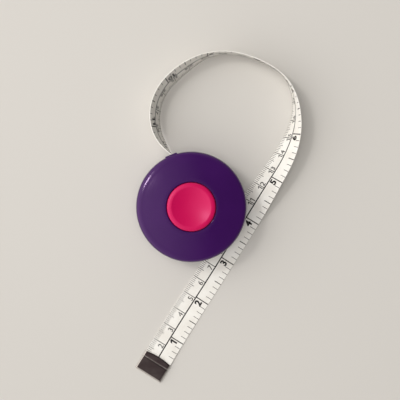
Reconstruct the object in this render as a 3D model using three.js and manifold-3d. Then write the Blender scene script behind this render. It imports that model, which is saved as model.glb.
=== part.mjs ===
// Spring-return cloth tape measure in a round two-part case, in millimetres, +Z up.
// The origin is the middle of the flat base, and Z is the case's axis.
import * as THREE from "three";
import { mergeVertices } from "three/addons/utils/BufferGeometryUtils.js";
import Module from "manifold-3d";

const wasm = await Module();
wasm.setup();

// Tape
const TAPE_LENGTH = 1500;
const TAPE_WIDTH = 15.3;
const TAPE_THICKNESS = 0.35;
const COIL_PITCH = 0.8;
const TAPE_STEP = 3;

// Clearances
const SEAT_GAP = 0.2;
const RUN_GAP = 0.3;
const TAPE_SIDE_GAP = 0.3;
const BRAKE_GAP = 0.3;

// Case
const CASE_WALL = 1.5;
const LEAD_ROOM = 2.4;
const BASE_LAND_R = 14;
const DOME_RADIUS = 144;
const EDGE_RISE = 6.1;
const EDGE_PULL_OUT = 0.85;
const EDGE_PULL_UP = 0.12;
const EDGE_LIFT = 0.07;
const PARTING_GAP = 0.2;
const LAP_HEIGHT = 1.2;
const LAP_WALL = 0.65;
const FOOT_RING_WALL = 1.0;

// Mouth that the tape leaves by: its place round the case and the way the tape heads there
const MOUTH_ANGLE = 110;
const MOUTH_HEADING = 139.5;
const MOUTH_GAP = 0.7;
const MOUTH_PAD_ANGLE = 111.5;
const MOUTH_PAD_WIDTH = 6.8;
const MOUTH_PAD_PROUD = 0.25;
const MOUTH_PAD_ROUND = 0.5;
const MOUTH_PAD_MARGIN = 1;
const MOUTH_CUT_LENGTH = 6;

// Button
const BUTTON_R = 12.3;
const BUTTON_PROUD = 1.35;
const BUTTON_TRAVEL = 1.5;
const BUTTON_WALL = 1.5;
const BUTTON_CROWN = 1.4;
const BUTTON_RIM = 2.2;
const BUTTON_RIM_ROUND = 1.0;
const BUTTON_DISH = 1.7;
const BUTTON_LIP = 1.2;
const BUTTON_LIP_THICKNESS = 0.8;
const STEM_R = 1.8;
const STEM_SHOULDER = 0.9;
const STEM_ENGAGE = 1.2;
const SPIGOT_CLEARANCE = 0.6;

// Reel
const SPIGOT_WALL = 0.7;
const SPIGOT_DEPTH = 2.6;
const DRUM_WALL = 1.2;
const DRUM_LEDGE = 0.7;
const FLANGE_THICKNESS = 0.8;
const FLANGE_MARGIN = 0.3;
const ANCHOR_WIDTH = 2.4;
const ANCHOR_THICKNESS = 0.4;

// Brake
const TRACK_THICKNESS = 0.8;
const LINING_THICKNESS = 0.9;
const LINING_WIDTH = 2.8;
const DISC_THICKNESS = 0.9;
const DISC_MARGIN = 1.3;

// Mainspring and its post
const MAINSPRING_THICKNESS = 0.2;
const MAINSPRING_TURNS = 7;
const MAINSPRING_HOOK = 0.7;
const SPRING_COVER_THICKNESS = 0.8;
const ARBOR_WALL = 0.95;

// Button spring
const SPRING_POCKET = 6;
const SPRING_WIRE_R = 0.3;
const SPRING_TURNS = 5;

// End clip
const CLIP_LENGTH = 11.5;
const CLIP_THICKNESS = 0.35;
const CLIP_TAPE_GAP = 0.3;
const CLIP_SIDE = 0.15;
const CLIP_END_BULGE = 0.8;

// Facets
const CASE_SIDES = 72;
const REEL_SIDES = 48;
const POST_SIDES = 24;
const COIL_SIDES = 28;
const MAINSPRING_SIDES = 24;
const WIRE_SIDES = 6;
const WIRE_STEPS = 10;
const CURVE_STEPS = 5;
const DOME_STEPS = 2;
const DISH_STEPS = 4;
const CLIP_END_SIDES = 120;

// Route of the tape outside the reel, from the coil to the clip.
// Each point: x and y of the tape's middle, height of its lower edge, lean of its width from upright
// in degrees, to the right of the way it runs: 0 stands on edge, -90 lies flat with its inner face up.
const ROUTE = [
  [-3.0, 24.6, 4.3, 0],
  [-6.3, 24.95, 4.3, 0],
  [-9.0, 25.65, 4.3, 0],
  [-10.7, 27.2, 4.3, 0],
  [-12.3, 29.1, 3.8, -4],
  [-14.1, 31.6, 3.0, -9],
  [-16.0, 34.6, 2.0, -13],
  [-17.8, 38.1, 1.1, -14.5],
  [-19.0, 42.0, 0.6, -16],
  [-19.5, 47.0, 0.35, -17],
  [-19.1, 52.5, 0.25, -17],
  [-17.5, 57.8, 0.2, -16],
  [-15.2, 62.2, 0.2, -15],
  [-11.6, 66.7, 0.2, -14.5],
  [-5.9, 71.8, 0.2, -13],
  [0.7, 76.4, 0.2, -8],
  [8.1, 80.1, 0.2, 1],
  [15.2, 81.5, 0.2, 5],
  [23.1, 81.2, 0.2, 6.5],
  [30.4, 79.5, 0.2, 8],
  [37.5, 76.9, 0.2, 9.5],
  [44.0, 73.4, 0.2, 10.5],
  [48.6, 69.6, 0.2, 9.5],
  [52.0, 64.7, 0.2, 5.5],
  [54.3, 58.5, 0.2, 0],
  [55.3, 52.3, 0.2, -6.5],
  [55.1, 45.5, 0.2, -15],
  [53.7, 38.3, 0.2, -26.5],
  [50.8, 30.4, 0.2, -38],
  [47.0, 22.8, 0.2, -46.5],
  [42.8, 16.1, 0.2, -53],
  [38.3, 8.9, 0.22, -64],
  [33.6, 1.2, 0.25, -75],
  [28.9, -6.5, 0.25, -83],
  [24.1, -14.4, 0.25, -88],
  [10.85, -35.55, 0.25, -90],
  [-2.65, -56.65, 0.25, -90],
  [-13.25, -73.55, 0.5, -90],
  [-18.45, -82.15, 0.85, -90],
  [-23.5, -90.25, 0.85, -90],
];

// Radii, from the button outwards
const buttonLipR = BUTTON_R + BUTTON_LIP;
const buttonHoleR = BUTTON_R + RUN_GAP;
const spigotInnerR = buttonLipR + SPIGOT_CLEARANCE;
const spigotOuterR = spigotInnerR + SPIGOT_WALL;
const drumTopBoreR = spigotOuterR + SEAT_GAP;
const drumMidBoreR = drumTopBoreR - DRUM_LEDGE;
const drumLowBoreR = drumMidBoreR - DRUM_LEDGE;
const drumR = drumTopBoreR + DRUM_WALL;
const coilInnerR = drumR + RUN_GAP;
const discR = drumMidBoreR - DISC_MARGIN;
const liningInnerR = discR - LINING_WIDTH;
const trackInnerR = liningInnerR - RUN_GAP;
const stemShoulderR = STEM_R + STEM_SHOULDER;
const stemBoreR = STEM_R + RUN_GAP;
const buttonSpringR = stemBoreR + SPRING_WIRE_R;
const pocketR = buttonSpringR + SPRING_WIRE_R + RUN_GAP;
const arborR = pocketR + ARBOR_WALL;
const reelBoreR = arborR + RUN_GAP;

// The tape on the reel is what the route outside leaves of the whole length.
const routePath = new THREE.CatmullRomCurve3(ROUTE.map(([x, y]) => new THREE.Vector3(x, y, 0)));
const routeStand = new THREE.CatmullRomCurve3(
  ROUTE.map(([, , height, lean]) => new THREE.Vector3(height, lean, 0)), false, "catmullrom",
);
const coilLength = TAPE_LENGTH - routePath.getLength();
const coilStartR = coilInnerR + TAPE_THICKNESS / 2;
const coilTurns =
  (Math.sqrt(coilStartR ** 2 + (COIL_PITCH * coilLength) / Math.PI) - coilStartR) / COIL_PITCH;
const coilOuterR = coilInnerR + TAPE_THICKNESS + COIL_PITCH * coilTurns;
const flangeR = coilOuterR + FLANGE_MARGIN;
const caseInnerR = flangeR + LEAD_ROOM;
const caseR = caseInnerR + CASE_WALL;
const lapOuterR = caseInnerR + LAP_WALL;
const lapSkirtR = lapOuterR + SEAT_GAP;

// Heights, from the base up
const domeHeight = (r) => Math.max(0, (r ** 2 - BASE_LAND_R ** 2) / (2 * DOME_RADIUS));
const reelBottomZ = domeHeight(flangeR) + CASE_WALL + RUN_GAP;
const webTopZ = reelBottomZ + FLANGE_THICKNESS;
const tapeBottomZ = webTopZ + TAPE_SIDE_GAP;
const tapeTopZ = tapeBottomZ + TAPE_WIDTH;
const upperFlangeZ = tapeTopZ + TAPE_SIDE_GAP;
const upperFlangeTopZ = upperFlangeZ + FLANGE_THICKNESS;
const caseTopZ = upperFlangeTopZ + RUN_GAP + CASE_WALL + domeHeight(flangeR);
const splitZ = caseTopZ / 2;
const drumTopZ = upperFlangeZ - SEAT_GAP;
const spigotBottomZ = upperFlangeZ - SPIGOT_DEPTH;
const trackTopZ = spigotBottomZ - SEAT_GAP;
const trackBottomZ = trackTopZ - TRACK_THICKNESS;
const trackLedgeZ = trackBottomZ - SEAT_GAP;
const liningTopZ = trackBottomZ - BRAKE_GAP;
const liningBottomZ = liningTopZ - LINING_THICKNESS;
const discTopZ = liningBottomZ - SEAT_GAP;
const discBottomZ = discTopZ - DISC_THICKNESS;
const arborTopZ = discBottomZ - BUTTON_TRAVEL - 2 * RUN_GAP;
const springCoverBottomZ = arborTopZ - SPRING_COVER_THICKNESS;
const springLedgeZ = springCoverBottomZ - SEAT_GAP;
const mainspringBottomZ = webTopZ + RUN_GAP;
const mainspringTopZ = springLedgeZ - RUN_GAP;
const arborBottomZ = CASE_WALL + SEAT_GAP;
const pocketFloorZ = arborTopZ - SPRING_POCKET;
const stemBottomZ = pocketFloorZ - STEM_ENGAGE;
const guideFloorZ = stemBottomZ - BUTTON_TRAVEL - RUN_GAP;
const buttonTopZ = caseTopZ + BUTTON_PROUD;
const dishFloorZ = buttonTopZ - BUTTON_DISH;
const crownUnderZ = dishFloorZ - BUTTON_CROWN;
const lipTopZ = caseTopZ - CASE_WALL - RUN_GAP;
const lipBottomZ = lipTopZ - BUTTON_LIP_THICKNESS;

// Shared helpers
const radians = THREE.MathUtils.degToRad;
const point = (x, y) => new THREE.Vector2(x, y);
const polar = (radius, angle) => point(radius * Math.cos(angle), radius * Math.sin(angle));

// A turned piece: the profile is a closed line of [radius, height] points.
function turned(profile, sides) {
  const points = profile.map(([r, z]) => point(r, z));
  const closes = profile[0][0] > 0;
  if (closes) points.push(points[0].clone());
  return outward(new THREE.LatheGeometry(points, sides).rotateX(Math.PI / 2));
}

// A flat outline raised from one height to another.
function raised(outline, bottom, top) {
  const options = { depth: top - bottom, bevelEnabled: false };
  return new THREE.ExtrudeGeometry(new THREE.Shape(outline), options).translate(0, 0, bottom);
}

// Joins equal vertices and turns the faces outwards.
function outward(geometry) {
  const bare = geometry.clone();
  bare.deleteAttribute("normal");
  bare.deleteAttribute("uv");
  const merged = mergeVertices(bare, 1e-4);
  const index = merged.index.array;
  const at = merged.attributes.position;
  const [a, b, c] = [new THREE.Vector3(), new THREE.Vector3(), new THREE.Vector3()];
  let volume = 0;
  for (let i = 0; i < index.length; i += 3) {
    a.fromBufferAttribute(at, index[i]);
    b.fromBufferAttribute(at, index[i + 1]);
    c.fromBufferAttribute(at, index[i + 2]);
    volume += a.dot(b.cross(c));
  }
  if (volume < 0) index.reverse();
  return merged;
}

function solid(geometry) {
  const merged = outward(geometry);
  const vertProperties = merged.attributes.position.array;
  const triVerts = new Uint32Array(merged.index.array);
  return new wasm.Manifold(new wasm.Mesh({ numProp: 3, vertProperties, triVerts }));
}

function geometryOf(manifold) {
  const { vertProperties, triVerts } = manifold.getMesh();
  return new THREE.BufferGeometry()
    .setAttribute("position", new THREE.BufferAttribute(vertProperties, 3))
    .setIndex(new THREE.BufferAttribute(triVerts, 1));
}

function mesh(name, geometry, color, roughness, metalness) {
  geometry.computeVertexNormals();
  const material = new THREE.MeshStandardMaterial({ color, roughness, metalness });
  const made = new THREE.Mesh(geometry, material);
  made.name = name;
  return made;
}

// Outline of a thin band that follows a line of points.
function bandOutline(line, thickness) {
  const side = (sign) =>
    line.map((p, i) => {
      const before = line[Math.max(i - 1, 0)];
      const after = line[Math.min(i + 1, line.length - 1)];
      const along = after.clone().sub(before).normalize();
      const across = point(-along.y, along.x).multiplyScalar((sign * thickness) / 2);
      return p.clone().add(across);
    });
  return [...side(1), ...side(-1).reverse()];
}

// Points of a spiral whose radius grows by one pitch in each turn.
function spiral(startR, pitch, turns, startAngle, sides) {
  const steps = Math.ceil(turns * sides);
  return Array.from({ length: steps + 1 }, (_, i) => {
    const turn = (turns * i) / steps;
    return polar(startR + pitch * turn, startAngle + 2 * Math.PI * turn);
  });
}

// Least distance between the faces of neighbouring turns.
function leastTurnGap(line, sides, thickness) {
  let least = Infinity;
  line.forEach((p, i) => {
    for (let j = i + Math.round(sides / 2); j < line.length; j++) {
      least = Math.min(least, p.distanceTo(line[j]));
    }
  });
  return least - thickness;
}

// Case shells: a flat land, a shallow dome, a round edge and an upright side
function shellSide(landR, radius, lift, edgeTop) {
  const dome = [];
  for (let i = 1; i <= DOME_STEPS; i++) {
    const r = landR + ((flangeR - landR) * i) / DOME_STEPS;
    dome.push([r, domeHeight(r) + lift]);
  }
  const [r0, z0] = dome[dome.length - 1];
  const edge = new THREE.CubicBezierCurve(
    point(r0, z0),
    point(r0 + EDGE_PULL_OUT * (radius - r0), z0 + EDGE_LIFT * (edgeTop - z0)),
    point(radius, z0 + EDGE_PULL_UP * (edgeTop - z0)),
    point(radius, edgeTop),
  );
  return [[landR, lift], ...dome, ...edge.getPoints(CURVE_STEPS).slice(1).map((p) => [p.x, p.y])];
}

const edgeTopZ = domeHeight(flangeR) + EDGE_RISE;
const outerSide = shellSide(BASE_LAND_R, caseR, 0, edgeTopZ);
const innerSide = shellSide(BASE_LAND_R, caseInnerR, CASE_WALL, edgeTopZ);
const footRingInnerR = arborR + SEAT_GAP;
const footRingOuterR = footRingInnerR + FOOT_RING_WALL;
const footRingTopZ = reelBottomZ - RUN_GAP;
const upsideDown = ([r, z]) => [r, caseTopZ - z];

// Raised pad round the mouth, on one shell
function mouthPad(bottom, top) {
  const half = MOUTH_PAD_WIDTH / 2;
  const outer = caseR + MOUTH_PAD_PROUD;
  const outline = new THREE.Path()
    .moveTo(lapSkirtR, -half)
    .lineTo(outer - MOUTH_PAD_ROUND, -half)
    .quadraticCurveTo(outer, -half, outer, -half + MOUTH_PAD_ROUND)
    .lineTo(outer, half - MOUTH_PAD_ROUND)
    .quadraticCurveTo(outer, half, outer - MOUTH_PAD_ROUND, half)
    .lineTo(lapSkirtR, half);
  return raised(outline.getPoints(CURVE_STEPS), bottom, top).rotateZ(radians(MOUTH_PAD_ANGLE));
}

// Slot for the tape through the shell's wall
function mouthCut() {
  const width = TAPE_THICKNESS + 2 * MOUTH_GAP;
  const height = TAPE_WIDTH + 2 * TAPE_SIDE_GAP;
  const place = polar((caseInnerR + caseR) / 2, radians(MOUTH_ANGLE));
  return new THREE.BoxGeometry(MOUTH_CUT_LENGTH, width, height)
    .rotateZ(radians(MOUTH_HEADING))
    .translate(place.x, place.y, (tapeBottomZ + tapeTopZ) / 2);
}

function withMouth(shell, padBottom, padTop) {
  return geometryOf(solid(shell).add(solid(mouthPad(padBottom, padTop))).subtract(solid(mouthCut())));
}

function rearCover() {
  const shell = turned(
    [
      [0, 0],
      ...outerSide,
      [caseR, splitZ - PARTING_GAP / 2],
      [lapOuterR, splitZ - PARTING_GAP / 2],
      [lapOuterR, splitZ + LAP_HEIGHT],
      [caseInnerR, splitZ + LAP_HEIGHT],
      ...[...innerSide].reverse(),
      [footRingOuterR, CASE_WALL],
      [footRingOuterR, footRingTopZ],
      [footRingInnerR, footRingTopZ],
      [footRingInnerR, CASE_WALL],
      [0, CASE_WALL],
    ],
    CASE_SIDES,
  );
  return withMouth(shell, tapeBottomZ - MOUTH_PAD_MARGIN, splitZ - PARTING_GAP / 2);
}

function frontCover() {
  const shell = turned(
    [
      [buttonHoleR, caseTopZ],
      ...outerSide.map(upsideDown),
      [caseR, splitZ + PARTING_GAP / 2],
      [lapSkirtR, splitZ + PARTING_GAP / 2],
      [lapSkirtR, splitZ + LAP_HEIGHT + SEAT_GAP],
      [caseInnerR, splitZ + LAP_HEIGHT + SEAT_GAP],
      ...[...innerSide].reverse().map(upsideDown),
      [buttonHoleR, caseTopZ - CASE_WALL],
    ],
    CASE_SIDES,
  );
  return withMouth(shell, splitZ + PARTING_GAP / 2, tapeTopZ + MOUTH_PAD_MARGIN);
}

// Button: dished crown with a round rim, retaining lip and stepped stem
function releaseButton() {
  const rimInnerR = BUTTON_R - BUTTON_RIM;
  const rim = new THREE.CubicBezierCurve(
    point(BUTTON_R, buttonTopZ - BUTTON_RIM_ROUND),
    point(BUTTON_R, buttonTopZ - BUTTON_RIM_ROUND / 3),
    point(BUTTON_R - BUTTON_RIM / 3, buttonTopZ),
    point(rimInnerR, buttonTopZ),
  );
  const dish = [];
  for (let i = 1; i <= DISH_STEPS; i++) {
    const r = rimInnerR * (1 - i / DISH_STEPS);
    dish.push([r, dishFloorZ + BUTTON_DISH * (r / rimInnerR) ** 2]);
  }
  return turned(
    [
      [0, stemBottomZ],
      [STEM_R, stemBottomZ],
      [STEM_R, discTopZ + SEAT_GAP],
      [stemShoulderR, discTopZ + SEAT_GAP],
      [stemShoulderR, crownUnderZ],
      [BUTTON_R - BUTTON_WALL, crownUnderZ],
      [BUTTON_R - BUTTON_WALL, lipBottomZ],
      [buttonLipR, lipBottomZ],
      [buttonLipR, lipTopZ],
      [BUTTON_R, lipTopZ],
      ...rim.getPoints(CURVE_STEPS).map((p) => [p.x, p.y]),
      ...dish,
    ],
    REEL_SIDES,
  );
}

// Flat ring between two radii and two heights
const flatRing = (innerR, outerR, bottom, top) =>
  turned([[innerR, bottom], [outerR, bottom], [outerR, top], [innerR, top]], REEL_SIDES);

// Reel: drum with a stepped bore and the lower flange, grooved for the tape's anchor strip
const coilEndAngle = Math.atan2(ROUTE[0][1], ROUTE[0][0]) - SEAT_GAP / coilOuterR;
const coilStartAngle = coilEndAngle - 2 * Math.PI * coilTurns;
const grooveFloorR = drumR - ANCHOR_THICKNESS - SEAT_GAP;

function reelDrum() {
  const body = turned(
    [
      [reelBoreR, reelBottomZ],
      [flangeR, reelBottomZ],
      [flangeR, webTopZ],
      [drumR, webTopZ],
      [drumR, drumTopZ],
      [drumTopBoreR, drumTopZ],
      [drumTopBoreR, trackLedgeZ],
      [drumMidBoreR, trackLedgeZ],
      [drumMidBoreR, springLedgeZ],
      [drumLowBoreR, springLedgeZ],
      [drumLowBoreR, webTopZ],
      [reelBoreR, webTopZ],
    ],
    REEL_SIDES,
  );
  const depth = drumR - grooveFloorR + RUN_GAP;
  const groove = new THREE.BoxGeometry(depth, ANCHOR_WIDTH + 2 * SEAT_GAP, TAPE_WIDTH)
    .translate(grooveFloorR + depth / 2, 0, (tapeBottomZ + tapeTopZ) / 2)
    .rotateZ(coilStartAngle);
  return geometryOf(solid(body).subtract(solid(groove)));
}

function tapeAnchor() {
  return new THREE.BoxGeometry(ANCHOR_THICKNESS, ANCHOR_WIDTH, TAPE_WIDTH - 2 * SEAT_GAP)
    .translate(grooveFloorR + SEAT_GAP + ANCHOR_THICKNESS / 2, 0, (tapeBottomZ + tapeTopZ) / 2)
    .rotateZ(coilStartAngle);
}

function reelUpperFlange() {
  return turned(
    [
      [spigotInnerR, spigotBottomZ],
      [spigotOuterR, spigotBottomZ],
      [spigotOuterR, upperFlangeZ],
      [flangeR, upperFlangeZ],
      [flangeR, upperFlangeTopZ],
      [spigotInnerR, upperFlangeTopZ],
    ],
    REEL_SIDES,
  );
}

function tapeCoil() {
  const line = spiral(coilStartR, COIL_PITCH, coilTurns, coilStartAngle, COIL_SIDES);
  console.log("tape_coil least gap, mm:", leastTurnGap(line, COIL_SIDES, TAPE_THICKNESS).toFixed(3));
  return raised(bandOutline(line, TAPE_THICKNESS), tapeBottomZ, tapeTopZ);
}

// Post: a slit takes the mainspring's hook, and a stepped bore the button's spring and stem
function springArbor() {
  const body = turned(
    [
      [0, arborBottomZ],
      [arborR, arborBottomZ],
      [arborR, arborTopZ],
      [pocketR, arborTopZ],
      [pocketR, pocketFloorZ],
      [stemBoreR, pocketFloorZ],
      [stemBoreR, guideFloorZ],
      [0, guideFloorZ],
    ],
    POST_SIDES,
  );
  const depth = MAINSPRING_HOOK + SEAT_GAP;
  const width = MAINSPRING_THICKNESS + 2 * SEAT_GAP;
  const slit = new THREE.BoxGeometry(depth + RUN_GAP, width, arborTopZ - webTopZ)
    .translate(arborR - depth + (depth + RUN_GAP) / 2, 0, (arborTopZ + webTopZ) / 2);
  return geometryOf(solid(body).subtract(solid(slit)));
}

function mainspring() {
  const innerR = reelBoreR + MAINSPRING_THICKNESS;
  const outerR = drumLowBoreR - RUN_GAP - MAINSPRING_THICKNESS;
  const pitch = (outerR - innerR) / MAINSPRING_TURNS;
  const turns = spiral(innerR, pitch, MAINSPRING_TURNS, 0, MAINSPRING_SIDES);
  console.log(
    "mainspring least gap, mm:",
    leastTurnGap(turns, MAINSPRING_SIDES, MAINSPRING_THICKNESS).toFixed(3),
  );
  const hook = [point(arborR - MAINSPRING_HOOK, 0), point(arborR, 0)];
  const line = [...hook, ...turns.slice(1)];
  return raised(bandOutline(line, MAINSPRING_THICKNESS), mainspringBottomZ, mainspringTopZ);
}

class Helix extends THREE.Curve {
  constructor(radius, bottom, top, turns) {
    super();
    Object.assign(this, { radius, bottom, top, turns });
  }
  getPoint(t, target = new THREE.Vector3()) {
    const angle = 2 * Math.PI * this.turns * t;
    const height = this.bottom + (this.top - this.bottom) * t;
    return target.set(this.radius * Math.cos(angle), this.radius * Math.sin(angle), height);
  }
}

function buttonSpring() {
  const bottom = pocketFloorZ + SEAT_GAP + SPRING_WIRE_R;
  const top = discBottomZ - SEAT_GAP - SPRING_WIRE_R;
  const wire = Array.from({ length: WIRE_SIDES }, (_, i) =>
    polar(SPRING_WIRE_R, (2 * Math.PI * i) / WIRE_SIDES),
  );
  return new THREE.ExtrudeGeometry(new THREE.Shape(wire), {
    steps: SPRING_TURNS * WIRE_STEPS,
    extrudePath: new Helix(buttonSpringR, bottom, top, SPRING_TURNS),
  });
}

// Free tape: a ribbon that leans, twists and lies down along its route
function tapeFree() {
  const steps = Math.round(routePath.getLength() / TAPE_STEP);
  const positions = [];
  for (let i = 0; i <= steps; i++) {
    const t = routePath.getUtoTmapping(i / steps);
    const middle = routePath.getPoint(t);
    const along = routePath.getTangent(t);
    const { x: lowerEdge, y: lean } = routeStand.getPoint(t);
    const right = new THREE.Vector3(along.y, -along.x, 0);
    const up = new THREE.Vector3(0, 0, 1);
    const width = up.clone().multiplyScalar(Math.cos(radians(lean)));
    width.addScaledVector(right, Math.sin(radians(lean)));
    const face = new THREE.Vector3().crossVectors(along, width);
    middle.z = lowerEdge + (TAPE_WIDTH / 2) * width.z;
    for (const [across, through] of [[-1, -1], [1, -1], [1, 1], [-1, 1]]) {
      const corner = middle.clone().addScaledVector(width, (across * TAPE_WIDTH) / 2);
      corner.addScaledVector(face, (through * TAPE_THICKNESS) / 2);
      positions.push(corner.x, corner.y, corner.z);
    }
  }
  const index = [0, 1, 2, 0, 2, 3];
  for (let i = 0; i < steps; i++) {
    for (let k = 0; k < 4; k++) {
      const [a, b] = [4 * i + k, 4 * i + ((k + 1) % 4)];
      // both wide faces are split along the same diagonal, so the tape keeps its thickness in a twist
      if (k < 2) index.push(a, a + 4, b, b, a + 4, b + 4);
      else index.push(a, a + 4, b + 4, a, b + 4, b);
    }
  }
  const last = 4 * steps;
  index.push(last, last + 2, last + 1, last, last + 3, last + 2);
  const ribbon = new THREE.BufferGeometry()
    .setAttribute("position", new THREE.Float32BufferAttribute(positions, 3))
    .setIndex(index);
  return outward(ribbon);
}

// Clip: one strip of metal folded over the tape's end, its two open edges slightly bowed
function endClip() {
  const half = TAPE_THICKNESS / 2 + CLIP_TAPE_GAP;
  const outer = half + CLIP_THICKNESS;
  const wall = CLIP_LENGTH - CLIP_THICKNESS;
  const outline = [
    point(0, -outer),
    point(CLIP_LENGTH, -outer),
    point(CLIP_LENGTH, outer),
    point(0, outer),
    point(0, half),
    point(wall, half),
    point(wall, -half),
    point(0, -half),
  ];
  const width = TAPE_WIDTH + 2 * CLIP_SIDE;
  const [x, y, height] = ROUTE[ROUTE.length - 1];
  const along = routePath.getTangent(1);
  const start = CLIP_LENGTH - CLIP_THICKNESS - CLIP_TAPE_GAP;
  const bowR = (width ** 2 / 4 + CLIP_END_BULGE ** 2) / (2 * CLIP_END_BULGE);
  const bow = new THREE.CylinderGeometry(bowR, bowR, 4 * outer, CLIP_END_SIDES).translate(bowR, 0, 0);
  const strip = raised(outline, -width / 2, width / 2);
  return geometryOf(solid(strip).intersect(solid(bow)))
    .translate(-start, 0, 0)
    .rotateX(Math.PI / 2)
    .rotateZ(Math.atan2(along.y, along.x))
    .translate(x, y, height);
}

const PURPLE = 0x46205f;
const PINK = 0xd2144e;
const TAPE_WHITE = 0xf3efe8;
const GUNMETAL = 0x3e3637;
const STEEL = 0x9a9da2;
const GREY_PLASTIC = 0x8d8f94;
const IVORY_PLASTIC = 0xd9d4c7;
const BLACK_RUBBER = 0x232325;

const tapeMeasure = new THREE.Group();
tapeMeasure.add(
  mesh("rear_cover", rearCover(), PURPLE, 0.25, 0),
  mesh("front_cover", frontCover(), PURPLE, 0.25, 0),
  mesh("release_button", releaseButton(), PINK, 0.3, 0),
  mesh("brake_disc", flatRing(stemBoreR, discR, discBottomZ, discTopZ), GREY_PLASTIC, 0.5, 0),
  mesh("brake_lining", flatRing(liningInnerR, discR, liningBottomZ, liningTopZ), BLACK_RUBBER, 0.9, 0),
  mesh("button_spring", buttonSpring(), STEEL, 0.3, 1),
  mesh("reel_drum", reelDrum(), IVORY_PLASTIC, 0.5, 0),
  mesh("reel_upper_flange", reelUpperFlange(), IVORY_PLASTIC, 0.5, 0),
  mesh("brake_track", flatRing(trackInnerR, spigotOuterR, trackBottomZ, trackTopZ), STEEL, 0.4, 1),
  mesh("spring_cover", flatRing(reelBoreR, drumMidBoreR - SEAT_GAP, springCoverBottomZ, arborTopZ),
    GREY_PLASTIC, 0.5, 0),
  mesh("mainspring", mainspring(), STEEL, 0.3, 1),
  mesh("spring_arbor", springArbor(), GREY_PLASTIC, 0.5, 0),
  mesh("tape_anchor", tapeAnchor(), STEEL, 0.4, 1),
  mesh("tape_coil", tapeCoil(), TAPE_WHITE, 0.6, 0),
  mesh("tape_free", tapeFree(), TAPE_WHITE, 0.6, 0),
  mesh("end_clip", endClip(), GUNMETAL, 0.35, 1),
);

export default tapeMeasure;
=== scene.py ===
import math

import bmesh
import bpy
import numpy as np
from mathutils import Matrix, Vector


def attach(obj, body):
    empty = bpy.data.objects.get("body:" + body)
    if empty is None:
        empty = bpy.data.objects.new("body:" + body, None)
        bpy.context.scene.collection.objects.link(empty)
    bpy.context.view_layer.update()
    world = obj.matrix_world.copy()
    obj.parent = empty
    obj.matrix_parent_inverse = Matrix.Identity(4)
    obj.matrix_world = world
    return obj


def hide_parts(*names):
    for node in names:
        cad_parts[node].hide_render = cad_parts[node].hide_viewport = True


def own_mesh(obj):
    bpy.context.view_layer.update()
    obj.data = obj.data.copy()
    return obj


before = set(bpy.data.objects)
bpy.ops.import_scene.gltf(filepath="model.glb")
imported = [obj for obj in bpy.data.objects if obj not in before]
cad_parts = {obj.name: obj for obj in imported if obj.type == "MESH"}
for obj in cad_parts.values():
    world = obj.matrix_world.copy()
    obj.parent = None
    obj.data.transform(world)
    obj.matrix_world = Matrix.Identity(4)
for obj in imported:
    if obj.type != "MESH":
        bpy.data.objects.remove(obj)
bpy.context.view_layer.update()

# Sizes in millimetres, as in the solids: clearances and the tape
MM = 0.001
SEAT_GAP = 0.2
RUN_GAP = 0.3
BRAKE_GAP = 0.3
TAPE_SIDE_GAP = 0.3
TAPE_LENGTH = 1500
TAPE_WIDTH = 15.3
TAPE_THICK = 0.35
COIL_PITCH = 0.8

# Case, and the mouth that the tape leaves by with the pad round it
CASE_WALL = 1.5
LEAD_ROOM = 2.4
BASE_LAND_R = 14
DOME_RADIUS = 144
EDGE_RISE = 6.1
EDGE_PULL_OUT = 0.85
EDGE_PULL_UP = 0.12
EDGE_LIFT = 0.07
PARTING_GAP = 0.2
LAP_HEIGHT = 1.2
LAP_WALL = 0.65
FOOT_RING_WALL = 1.0
MOUTH_ANGLE = math.radians(110)
MOUTH_HEADING = math.radians(139.5)
MOUTH_GAP = 0.7
MOUTH_CUT_LENGTH = 6
PAD_ANGLE = math.radians(111.5)
PAD_WIDTH = 6.8
PAD_PROUD = 0.25
PAD_ROUND = 0.5
PAD_MARGIN = 1

# Button
BUTTON_R = 12.3
BUTTON_PROUD = 1.35
BUTTON_TRAVEL = 1.5
BUTTON_WALL = 1.5
BUTTON_CROWN = 1.4
BUTTON_RIM = 2.2
BUTTON_RIM_ROUND = 1.0
BUTTON_DISH = 1.7
BUTTON_LIP = 1.2
BUTTON_LIP_THICK = 0.8
STEM_R = 1.8
STEM_SHOULDER = 0.9
STEM_ENGAGE = 1.2

# Reel and brake
FLANGE_THICK = 0.8
FLANGE_MARGIN = 0.3
SPIGOT_CLEARANCE = 0.6
SPIGOT_WALL = 0.7
SPIGOT_DEPTH = 2.6
DRUM_WALL = 1.2
DRUM_LEDGE = 0.7
ANCHOR_WIDTH = 2.4
ANCHOR_THICK = 0.4
TRACK_THICK = 0.8
LINING_THICK = 0.9
LINING_WIDTH = 2.8
DISC_THICK = 0.9
DISC_MARGIN = 1.3

# Springs and the post at the centre
MAINSPRING_THICK = 0.2
MAINSPRING_TURNS = 7
MAINSPRING_HOOK = 0.7
SPRING_COVER_THICK = 0.8
SPRING_POCKET = 6
SPRING_WIRE_R = 0.3
SPRING_TURNS = 5
ARBOR_WALL = 0.95

# End clip
CLIP_LENGTH = 11.5
CLIP_THICK = 0.35
CLIP_TAPE_GAP = 0.3
CLIP_SIDE = 0.15
CLIP_END_BULGE = 0.8
CLIP_FOLD = CLIP_THICK + CLIP_TAPE_GAP

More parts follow.
